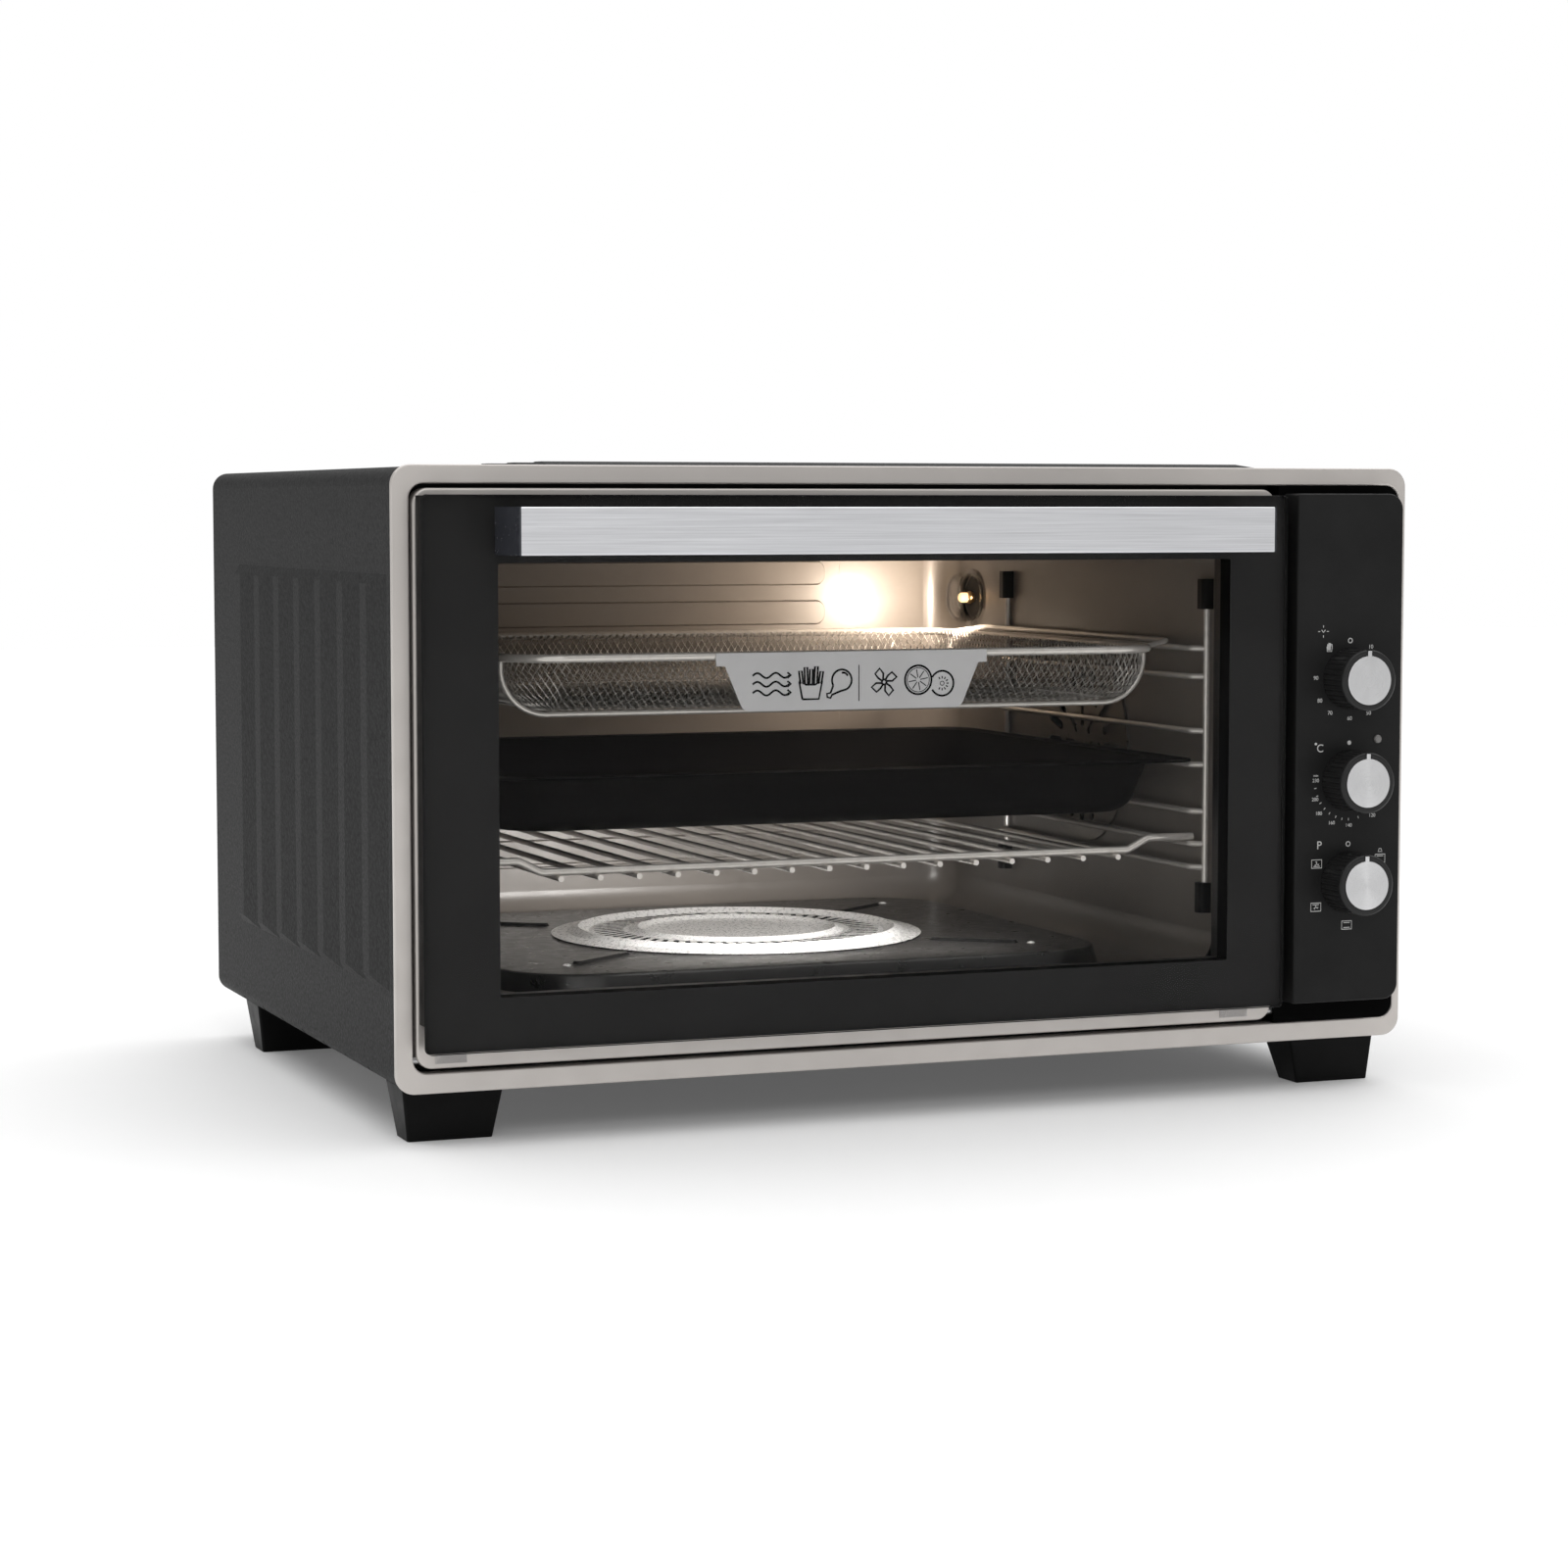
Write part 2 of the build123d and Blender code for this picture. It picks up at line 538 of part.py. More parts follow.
HOUSING_D = 20.0
SHAFT_R = 3.0
with BuildPart() as fan_housing:
    side_disc(wall_x + SHEET, wall_x + SHEET + 1, fan_y, FAN_Z, FAN_HOLE_R + 8)
    side_disc(wall_x + SHEET, wall_x + HOUSING_D, fan_y, FAN_Z, FAN_HOLE_R)
    side_disc(wall_x + SHEET, wall_x + HOUSING_D - 1, fan_y, FAN_Z, FAN_HOLE_R - 1, Mode.SUBTRACT)
    side_disc(wall_x, wall_x + HOUSING_D + 2, fan_y, FAN_Z, SHAFT_R + 2, Mode.SUBTRACT)
keep(fan_housing, "fan_housing")

BLADES = 12
with BuildPart() as fan_blade:
    side_disc(wall_x + 12, wall_x + 13.2, fan_y, FAN_Z, 43)
    side_disc(wall_x + 5, wall_x + 13.2, fan_y, FAN_Z, 7)
    with BuildSketch(across(wall_x + 4)):
        with Locations((fan_y, FAN_Z)):
            with PolarLocations(33, BLADES):
                with Locations(Location((0, 0), 25)):
                    Rectangle(17, 1.2)
    extrude(amount=8)
    side_disc(wall_x + 4, wall_x + 14, fan_y, FAN_Z, SHAFT_R, Mode.SUBTRACT)
keep(fan_blade, "fan_blade")

with BuildPart() as fan_shaft:
    side_disc(wall_x + 5, wall_x + 52, fan_y, FAN_Z, SHAFT_R)
keep(fan_shaft, "fan_shaft")

with BuildPart() as fan_motor:
    side_disc(wall_x + HOUSING_D, wall_x + HOUSING_D + 26, fan_y, FAN_Z, 26)
    fillet(fan_motor.faces().sort_by(Axis.X)[-1].edges(), 3)
    with Locations((wall_x + HOUSING_D + 12, fan_y, FAN_Z + 30)):
        Box(18, 40, 18)
    side_disc(wall_x, wall_x + 60, fan_y, FAN_Z, SHAFT_R + 0.06, Mode.SUBTRACT)
keep(fan_motor, "fan_motor")

# ---------------------------------------------------------------- control panel
PANEL_REACH = 15.0       # panel face in front of the frame face
PANEL_X0, PANEL_X1 = 206.4, 270.0
PANEL_Z0, PANEL_Z1 = 48.0, 318.0
PANEL_WALL = 2.6
BACKING_X0 = 203.2
KNOB_Z0, KNOB_PITCH = 112.0, 54.1
KNOB_R, KNOB_LEN = 16.2, 19.6
knob_zs = [KNOB_Z0 + i * KNOB_PITCH for i in range(3)]
INDICATOR_X, INDICATOR_Z, INDICATOR_R = 255.7, 187.9, 2.3
panel_w, panel_h = PANEL_X1 - PANEL_X0, PANEL_Z1 - PANEL_Z0
panel_x, panel_z = (PANEL_X0 + PANEL_X1) / 2, (PANEL_Z0 + PANEL_Z1) / 2
backing_w = opening_right - 0.3 - BACKING_X0

with BuildPart() as control_backing:
    with BuildSketch(behind(2)):
        with Locations((BACKING_X0 + backing_w / 2, opening_z)):
            Rectangle(backing_w, opening_h - 0.8)
        with Locations(*[(KNOB_X, z) for z in knob_zs]):
            Circle(6, mode=Mode.SUBTRACT)
        with Locations((INDICATOR_X, INDICATOR_Z)):
            Circle(INDICATOR_R + 0.5, mode=Mode.SUBTRACT)
    extrude(amount=1.6)
    right_corners = control_backing.edges().filter_by(Axis.Y).group_by(Axis.X)[-1]
    fillet(right_corners, OPENING_R)
    with BuildSketch(behind(12.8)):
        with Locations((BACKING_X0 + 0.7, opening_z)):
            Rectangle(1.4, opening_h - 0.8)
    extrude(amount=10.8)
    side_disc(BACKING_X0 - 1, BACKING_X0 + 3, y_at(HINGE_D), HINGE_Z, HINGE_PIN_R + 0.2, Mode.SUBTRACT)
keep(control_backing, "control_backing")


def panel_outline(inset, radius):
    """Panel face: large radii on the right, small ones next to the door."""
    with BuildSketch(behind(0.4)) as face:
        with Locations((panel_x, panel_z)):
            Rectangle(panel_w - 2 * inset, panel_h - 2 * inset)
        fillet(face.vertices().group_by(Axis.X)[-1], radius)
        fillet(face.vertices().group_by(Axis.X)[0], 1.5)
    return face.sketch


panel_face = panel_outline(0, 8.5)
panel_hollow = panel_outline(PANEL_WALL, 6)
with BuildPart() as control_panel:
    extrude(panel_face, amount=PANEL_REACH + 0.4)
    fillet(control_panel.faces().sort_by(Axis.Y)[0].edges(), 1.2)
    extrude(panel_hollow, amount=PANEL_REACH + 0.4 - PANEL_WALL, mode=Mode.SUBTRACT)
    with BuildSketch(behind(0)):
        with Locations(*[(KNOB_X, z) for z in knob_zs]):
            Circle(4.6)
        with Locations((INDICATOR_X, INDICATOR_Z)):
            Circle(INDICATOR_R)
    extrude(amount=PANEL_REACH + 1, mode=Mode.SUBTRACT)
keep(control_panel, "control_panel")

with BuildPart() as indicator_lamp:
    with BuildSketch(behind(1.8)):
        with Locations((INDICATOR_X, INDICATOR_Z)):
            Circle(INDICATOR_R)
    extrude(amount=PANEL_REACH + 3.0)
    fillet(indicator_lamp.faces().sort_by(Axis.Y)[0].edges(), 1.1)
keep(indicator_lamp, "indicator_lamp")

# ---------------------------------------------------------------- switch units and knobs
SPINDLE_R = 3.0
UNIT_SIZE = (42.0, 44.0, 26.0)
COLLAR_R = 5.4
unit_names = ("selector", "thermostat", "timer")
for name, z in zip(unit_names, knob_zs):
    with BuildPart() as unit:
        with Locations((KNOB_X, y_at(2 + UNIT_SIZE[2] / 2), z)):
            Box(UNIT_SIZE[0], UNIT_SIZE[2], UNIT_SIZE[1])
        fillet(unit.edges().filter_by(Axis.Y), 3)
        with BuildSketch(behind(2)):
            with Locations((KNOB_X, z)):
                Circle(COLLAR_R)
        extrude(amount=1.4)
        with BuildSketch(behind(22)):
            with Locations((KNOB_X, z)):
                Circle(SPINDLE_R + 0.06)
        extrude(amount=24, mode=Mode.SUBTRACT)
        for side in (-1, 1):
            with Locations((KNOB_X + side * 12, y_at(2 + UNIT_SIZE[2] + 4), z)):
                Box(0.8, 8, 6)
    keep(unit, f"{name}_unit")

KNOB_GAP = 0.4
FLUTES = 36
knob_back = -PANEL_REACH - KNOB_GAP
for name, z in zip(unit_names, knob_zs):
    with BuildPart() as knob:
        with BuildSketch(behind(knob_back)):
            with Locations((KNOB_X, z)):
                Circle(KNOB_R)
        extrude(amount=KNOB_LEN)
        fillet(knob.faces().sort_by(Axis.Y)[0].edges(), 1.4)
        with BuildSketch(behind(knob_back)):
            with Locations((KNOB_X, z)):
                with PolarLocations(KNOB_R + 0.35, FLUTES):
                    Circle(0.8)
        extrude(amount=KNOB_LEN - 2.2, mode=Mode.SUBTRACT)
        # seat for the metal cap and the pointer notch above it
        with BuildSketch(behind(knob_back - KNOB_LEN + 0.7)):
            with Locations((KNOB_X, z)):
                Circle(13.2)
            with Locations((KNOB_X, z + 14)):
                Rectangle(3.4, 4)
        extrude(amount=2, mode=Mode.SUBTRACT)
        with BuildSketch(behind(knob_back)):
            with Locations((KNOB_X, z)):
                Circle(KNOB_R - 2.6)
                Circle(6.0, mode=Mode.SUBTRACT)
        extrude(amount=KNOB_LEN - 5, mode=Mode.SUBTRACT)
        with BuildSketch(behind(knob_back)):
            with Locations((KNOB_X, z)):
                Circle(SPINDLE_R)
        extrude(amount=KNOB_LEN - 6, mode=Mode.SUBTRACT)
    keep(knob, f"{name}_knob")

    with BuildPart() as cap:
        with BuildSketch(behind(knob_back - KNOB_LEN + 0.7)):
            with Locations((KNOB_X, z)):
                Circle(12.9)
            with Locations((KNOB_X, z + 13.8)):
                Rectangle(2.4, 3.4)
        extrude(amount=1.1)
        fillet(cap.faces().sort_by(Axis.Y)[0].edges(), 0.3)
    keep(cap, f"{name}_cap")

    with BuildPart() as spindle:
        with BuildSketch(behind(20)):
            with Locations((KNOB_X, z)):
                Circle(SPINDLE_R)
        extrude(amount=20 - knob_back + KNOB_LEN - 6)
    keep(spindle, f"{name}_spindle")

# ---------------------------------------------------------------- door
GLASS_X0, GLASS_X1 = -268.3, 200.4
GLASS_Z0, GLASS_Z1 = 47.0, 317.1
GLASS_T, GLASS_FRONT = 4.0, -15.0
WINDOW_X0, WINDOW_X1 = -230.0, 168.6
WINDOW_Z0, WINDOW_Z1 = 73.0, 284.0
LINER_X0, LINER_X1 = -269.4, 201.0
LINER_Z0, LINER_Z1 = 38.2, 320.2
LINER_D = 10.0
BORDER_T = 0.4           # room behind the pane for its printed border


def spread(low, high):
    return (low + high) / 2, high - low


glass_x, glass_w = spread(GLASS_X0, GLASS_X1)
glass_z, glass_h = spread(GLASS_Z0, GLASS_Z1)
window_x, window_w = spread(WINDOW_X0, WINDOW_X1)
window_z, window_h = spread(WINDOW_Z0, WINDOW_Z1)
liner_x, liner_w = spread(LINER_X0, LINER_X1)
liner_z, liner_h = spread(LINER_Z0, LINER_Z1)
glass_back = GLASS_FRONT + GLASS_T

with BuildPart() as outer_glass:
    with BuildSketch(behind(glass_back)):
        with Locations((glass_x, glass_z)):
            RectangleRounded(glass_w, glass_h, 3)
    extrude(amount=GLASS_T)
    chamfer(outer_glass.faces().sort_by(Axis.Y)[0].edges(), 0.4)
keep(outer_glass, "outer_glass")

# plastic channels at both sides, between the pane and the liner
SPACER_Z, SPACER_H, SPACER_W = 188.5, 256.0, 12.0
spacer_spots = [(GLASS_X0 + 6.5, SPACER_Z), (GLASS_X1 - 6.5, SPACER_Z)]
with BuildPart() as door_spacers:
    with BuildSketch(behind(0)):
        with Locations(*spacer_spots):
            Rectangle(SPACER_W, SPACER_H)
    extrude(amount=-glass_back - BORDER_T)
    with BuildSketch(behind(0)):
        with Locations(*spacer_spots):
            Rectangle(SPACER_W - 4, SPACER_H - 6)
    extrude(amount=-glass_back - BORDER_T - 2, mode=Mode.SUBTRACT)
keep(door_spacers, "door_spacers")

INNER_GLASS_W, INNER_GLASS_H = 430.0, 243.0
with BuildPart() as door_liner:
    with BuildSketch(behind(LINER_D)):
        with Locations((liner_x, liner_z)):
            RectangleRounded(liner_w, liner_h, 8)
    extrude(amount=LINER_D)
    fillet(door_liner.faces().sort_by(Axis.Y)[0].edges(), 1.2)
    with BuildSketch(behind(LINER_D)):
        with Locations((liner_x, liner_z)):
            RectangleRounded(liner_w - 2, liner_h - 2, 7)
    extrude(amount=LINER_D - 1, mode=Mode.SUBTRACT)
    # walls around the window, and a rear lip that carries the inner pane
    with BuildSketch(behind(LINER_D)):
        with Locations((window_x, window_z)):
            Rectangle(window_w + 2, window_h + 2)
    extrude(amount=LINER_D)
    with BuildSketch(behind(LINER_D)):
        with Locations((liner_x, liner_z)):
            RectangleRounded(liner_w, liner_h, 8)
        with Locations((window_x, window_z)):
            Rectangle(INNER_GLASS_W + 1, INNER_GLASS_H + 1, mode=Mode.SUBTRACT)
    extrude(amount=1.0)
    with BuildSketch(behind(LINER_D)):
        with Locations((window_x, window_z)):
            Rectangle(window_w, window_h)
    extrude(amount=LINER_D, mode=Mode.SUBTRACT)
    for x in (LINER_X0 + 4, LINER_X1 - 4):
        side_disc(x - 6, x + 6, y_at(HINGE_D), HINGE_Z, HINGE_BORE_R, Mode.SUBTRACT)
    with BuildSketch(behind(LINER_D - 3.4)):
        with Locations((window_x, window_z)):
            Rectangle(INNER_GLASS_W + 1, INNER_GLASS_H + 1)
    extrude(amount=-3.4, mode=Mode.SUBTRACT)
keep(door_liner, "door_liner")

with BuildPart() as inner_glass:
    with BuildSketch(behind(LINER_D)):
        with Locations((window_x, window_z)):
            RectangleRounded(INNER_GLASS_W, INNER_GLASS_H, 2)
    extrude(amount=3.2)
keep(inner_glass, "inner_glass")

CLIP_W, CLIP_H = 16.0, 4.0
TAB_H, TAB_T = 7.0, 1.2
clip_t = -glass_back - BORDER_T
clip_mid_y = y_at(-clip_t / 2)
with BuildPart() as glass_clips:
    with Locations(*[(x, clip_mid_y, GLASS_Z1 - 1 - CLIP_H / 2) for x in (GLASS_X0 + 26, GLASS_X1 - 26)]):
        Box(CLIP_W, clip_t, CLIP_H)
    for x in (GLASS_X0 + 16, GLASS_X1 - 22):
        with Locations((x, clip_mid_y, GLASS_Z0 + 0.4 + CLIP_H / 2)):
            Box(CLIP_W, clip_t, CLIP_H)
        # thin tab under the pane, lying on the liner
        with Locations((x, y_at(-TAB_T / 2), GLASS_Z0 + 0.8 - TAB_H / 2)):
            Box(CLIP_W, TAB_T, TAB_H)
keep(glass_clips, "glass_clips")

# ---------------------------------------------------------------- handle
HANDLE_X0, HANDLE_X1 = -232.7, 170.9
HANDLE_Z0, HANDLE_Z1 = 288.0, 311.0
BAR_T = 12.0
HANDLE_END_W = 13.0
handle_x, handle_w = spread(HANDLE_X0, HANDLE_X1)
handle_z, handle_h = spread(HANDLE_Z0, HANDLE_Z1)

with BuildPart() as handle_bar:
    with BuildSketch(behind(BAR_T - HANDLE_REACH)):
        with Locations((handle_x, handle_z)):
            Rectangle(handle_w - 2, handle_h)
    extrude(amount=BAR_T)
    fillet(handle_bar.edges().filter_by(Axis.X), 0.8)
keep(handle_bar, "handle_bar")

for name, x, outward in (("handle_end_left", HANDLE_X0, 1), ("handle_end_right", HANDLE_X1, -1)):
    with BuildPart() as end:
        with BuildSketch(behind(GLASS_FRONT)):
            with Locations((x + outward * HANDLE_END_W / 2, handle_z)):
                Rectangle(HANDLE_END_W, handle_h)
        extrude(amount=HANDLE_REACH + GLASS_FRONT - BAR_T)
        with BuildSketch(behind(BAR_T - HANDLE_REACH)):
            with Locations((x + outward * 0.5, handle_z)):
                Rectangle(1, handle_h)
        extrude(amount=BAR_T)
    keep(end, name)

# ---------------------------------------------------------------- hinges
ARM_T = 4.0
CHANNEL_X = opening_left - 1
hinge_y = y_at(HINGE_D)
with BuildPart() as hinge_arms:
    with BuildSketch(across(LINER_X0 + 5.7)):
        with Locations((y_at(5.2), HINGE_Z + 8)):
            RectangleRounded(7.4, 21, 1.5)
        with Locations((hinge_y, HINGE_Z)):
            Circle(HINGE_BORE_R, mode=Mode.SUBTRACT)
    extrude(amount=ARM_T)
    mirror(about=Plane.YZ.offset(liner_x))
keep(hinge_arms, "hinge_arms")

with BuildPart() as hinge_left:
    side_disc(CHANNEL_X - 5.6, LINER_X0 + 10.4, hinge_y, HINGE_Z, HINGE_PIN_R)
    with Locations(((CHANNEL_X - 3.05), y_at(4.7), HINGE_Z)):
        Box(5.3, 6.2, 12)
keep(hinge_left, "hinge_left")

with BuildPart() as hinge_right:
    side_disc(LINER_X1 - 10.4, BACKING_X0 + 7, hinge_y, HINGE_Z, HINGE_PIN_R)
    with Locations((BACKING_X0 + 1.4 + 3, y_at(6.2), HINGE_Z)):
        Box(6, 8, 8)
keep(hinge_right, "hinge_right")

# ---------------------------------------------------------------- air-fry basket
BASKET_D0, BASKET_D1 = 15.5, 322.0
BASKET_HALF = 181.3
BASKET_SLOPE = 6.5
BASKET_DEPTH = 29.0
BASKET_BEND = 24.0       # bend of the wires that carry the mesh
RIM_R, WIRE_R = 2.2, 1.5
RIM_CORNER = 26.0
MESH_T = 1.0
RUNNER_OUT = 199.0       # runner wires, either side of the middle
REST_GAP = 0.3           # air between a rung and what hangs over it
runner_z = BASKET_RUNG + RUNG_R + WIRE_R + REST_GAP
rim_z = runner_z - 3.2
basket_y, basket_d = spread(y_at(BASKET_D0), y_at(BASKET_D1))


def wire_ring(half_x, half_y, corner, z, radius):
    """A closed rounded-rectangle ring of round wire around the basket's middle."""
    with BuildPart() as ring:
        with BuildSketch(Plane.XY.offset(z)) as outline:
            with Locations((DOOR_X, basket_y)):
                RectangleRounded(2 * half_x, 2 * half_y, corner)
        path = outline.sketch.face().outer_wire()
        with BuildSketch(Plane(origin=path @ 0, z_dir=path % 0)) as section:
            Circle(radius)
        sweep(section.sketch, path=path, mode=Mode.REPLACE)
    return ring.part


def tapered_tub(top, bottom, z_top, z_bottom, middle_y, corners, floor_round=0):
    """A rectangular bowl space: (half x, half y) at the top and at the bottom, with round corners."""
    with BuildPart() as tub:
        for (half_x, half_y), z, corner in ((bottom, z_bottom, corners[1]), (top, z_top, corners[0])):
            with BuildSketch(Plane.XY.offset(z)):
                with Locations((DOOR_X, middle_y)):
                    RectangleRounded(2 * half_x, 2 * half_y, corner)
        loft()
        if floor_round:
            fillet(tub.faces().sort_by(Axis.Z)[0].edges(), floor_round)
    return tub.part


def reduced(halves, amount):
    return halves[0] - amount, halves[1] - amount


mesh_top = reduced((BASKET_HALF, basket_d / 2), 2 * RIM_R + 0.2)
mesh_bottom = reduced((BASKET_HALF, basket_d / 2), BASKET_SLOPE)
mesh_floor = rim_z - BASKET_DEPTH + WIRE_R + 0.05

with BuildPart() as basket_frame:
    add(wire_ring(BASKET_HALF - RIM_R, basket_d / 2 - RIM_R, RIM_CORNER, rim_z, RIM_R))
    for side in (-1, 1):
        ends = [DOOR_X + side * (BASKET_HALF - RIM_R), DOOR_X + side * RUNNER_OUT]
        add(tube_along([(ends[0], y_at(44), rim_z), (ends[1], y_at(52), runner_z),
                        (ends[1], y_at(288), runner_z), (ends[0], y_at(296), rim_z)], WIRE_R, 6))
    # two cross wires under the mesh, bent up to the rim at both sides
    low, reach = rim_z - BASKET_DEPTH, BASKET_HALF - RIM_R
    for y in (y_at(BASKET_D0 + RIM_CORNER + 1), y_at(BASKET_D1 - RIM_CORNER - 1)):
        add(tube_along([(DOOR_X - reach, y, rim_z), (DOOR_X - reach, y, low),
                        (DOOR_X + reach, y, low), (DOOR_X + reach, y, rim_z)], WIRE_R, BASKET_BEND))
keep(basket_frame, "basket_frame")

with BuildPart() as basket_mesh:
    add(tapered_tub(mesh_top, mesh_bottom, rim_z + 0.5, mesh_floor, basket_y, (24, 23), 21))
    add(tapered_tub(reduced(mesh_top, MESH_T), reduced(mesh_bottom, MESH_T), rim_z + 0.5,
                    mesh_floor + MESH_T, basket_y, (23, 22), 20), mode=Mode.SUBTRACT)
keep(basket_mesh, "basket_mesh")

BADGE_TOP, BADGE_TAB, BADGE_FOOT = 149.0, 6.5, 120.0
BADGE_H, BADGE_T = 29.5, 0.8
BADGE_NECK = 139.6
badge_top_z = rim_z + 1.5
with BuildPart() as basket_badge:
    badge_plane = Plane(origin=(DOOR_X, y_at(BASKET_D0), badge_top_z), x_dir=(1, 0, 0), z_dir=(0, -1, 0))
    with BuildSketch(badge_plane) as badge:
        with BuildLine():
            Polyline((-BADGE_TOP / 2, 0), (BADGE_TOP / 2, 0), (BADGE_TOP / 2, -BADGE_TAB),
                     (BADGE_NECK / 2, -BADGE_TAB), (BADGE_FOOT / 2, -BADGE_H),
                     (-BADGE_FOOT / 2, -BADGE_H), (-BADGE_NECK / 2, -BADGE_TAB),
                     (-BADGE_TOP / 2, -BADGE_TAB), close=True)
        make_face()
        fillet(badge.vertices().group_by(Axis.Y)[0], 5)
    extrude(amount=BADGE_T)
keep(basket_badge, "basket_badge")

# ---------------------------------------------------------------- baking tray
TRAY_D0, TRAY_D1 = 14.5, 332.0
TRAY_HALF, TRAY_FLANGE = 202.5, 13.0
TRAY_DEPTH, TRAY_T = 29.0, 1.0
TRAY_SLOPE = 9.0
tray_y, tray_d = spread(y_at(TRAY_D0), y_at(TRAY_D1))
tray_top = TRAY_RUNG + RUNG_R + REST_GAP + TRAY_T
bowl_top = reduced((TRAY_HALF, tray_d / 2), TRAY_FLANGE)
bowl_bottom = reduced(bowl_top, TRAY_SLOPE)

with BuildPart() as baking_tray:
    with BuildSketch(Plane.XY.offset(tray_top - TRAY_T)):
        with Locations((DOOR_X, tray_y)):
            RectangleRounded(2 * TRAY_HALF, tray_d, 22)
    extrude(amount=TRAY_T)
    add(tapered_tub(bowl_top, bowl_bottom, tray_top - TRAY_T, tray_top - TRAY_DEPTH, tray_y, (38, 34), 14))
    add(tapered_tub(reduced(bowl_top, TRAY_T), reduced(bowl_bottom, TRAY_T), tray_top,
                    tray_top - TRAY_DEPTH + TRAY_T, tray_y, (37, 33), 13), mode=Mode.SUBTRACT)
keep(baking_tray, "baking_tray")

# ---------------------------------------------------------------- wire rack
RACK_D0, RACK_D1 = 27.0, 327.0
RACK_HALF, RACK_SIDE = 201.5, 175.0
RACK_DROP = 6.0
RAIL_R, SIDE_RAIL_R, BAR_R = 2.0, 1.7, 1.5
BAR_COUNT, BAR_PITCH, BAR_OVERHANG = 16, 20.6, 6.0
rack_z = GRID_RUNG + RUNG_R + REST_GAP + RAIL_R
bar_z = rack_z - RACK_DROP - RAIL_R - BAR_R + 0.4
rack_y, rack_d = spread(y_at(RACK_D0), y_at(RACK_D1))

with BuildPart() as wire_rack:
    for d in (RACK_D0, RACK_D1):
        rail = [(-RACK_HALF, rack_z), (-RACK_SIDE, rack_z), (12 - RACK_SIDE, rack_z - RACK_DROP),
                (RACK_SIDE - 12, rack_z - RACK_DROP), (RACK_SIDE, rack_z), (RACK_HALF, rack_z)]
        add(tube_along([(DOOR_X + x, y_at(d), z) for x, z in rail], RAIL_R, 6))
    for side in (-1, 1):
        with Locations((DOOR_X + side * (RACK_SIDE + 6), rack_y, rack_z)):
            Cylinder(SIDE_RAIL_R, rack_d, rotation=(90, 0, 0))
    bars = [(DOOR_X + (i - (BAR_COUNT - 1) / 2) * BAR_PITCH, rack_y, bar_z) for i in range(BAR_COUNT)]
    with Locations(*bars):
        Cylinder(BAR_R, rack_d + 2 * BAR_OVERHANG, rotation=(90, 0, 0))
keep(wire_rack, "wire_rack")
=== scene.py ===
import json
import math

import bmesh
import bpy
from mathutils import Matrix, Vector


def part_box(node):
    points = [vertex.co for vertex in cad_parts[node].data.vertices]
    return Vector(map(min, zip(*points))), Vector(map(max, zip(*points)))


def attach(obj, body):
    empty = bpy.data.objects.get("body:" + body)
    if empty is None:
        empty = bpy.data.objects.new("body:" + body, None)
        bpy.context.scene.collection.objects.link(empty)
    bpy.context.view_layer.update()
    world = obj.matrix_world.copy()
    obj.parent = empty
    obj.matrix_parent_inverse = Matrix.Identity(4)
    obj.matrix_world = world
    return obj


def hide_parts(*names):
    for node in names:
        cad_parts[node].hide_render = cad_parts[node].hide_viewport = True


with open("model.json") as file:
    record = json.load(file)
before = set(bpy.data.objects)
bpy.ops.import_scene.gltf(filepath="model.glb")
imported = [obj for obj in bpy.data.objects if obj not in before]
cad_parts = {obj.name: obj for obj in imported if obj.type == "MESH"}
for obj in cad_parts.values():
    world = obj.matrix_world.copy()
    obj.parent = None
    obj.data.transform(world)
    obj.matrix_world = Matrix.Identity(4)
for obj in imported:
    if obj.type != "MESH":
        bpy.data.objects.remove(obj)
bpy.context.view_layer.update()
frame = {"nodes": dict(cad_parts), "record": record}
nodes = frame["nodes"]
MM = 0.001


# ---------------------------------------------------------------- camera
CAMERA_PLACE = (-0.72514, -1.82996, 0.31063)
CAMERA_TILT, CAMERA_TURN = 85.543, -21.382
CAMERA_LENS, CAMERA_SENSOR = 81.38, 36.0


def place_camera():
    data = bpy.data.cameras.new("view_camera")
    data.lens, data.sensor_width = CAMERA_LENS, CAMERA_SENSOR
    camera = bpy.data.objects.new("view_camera", data)
    camera.location = CAMERA_PLACE
    camera.rotation_euler = (math.radians(CAMERA_TILT), 0, math.radians(CAMERA_TURN))
    bpy.context.scene.collection.objects.link(camera)
    bpy.context.scene.camera = camera


place_camera()


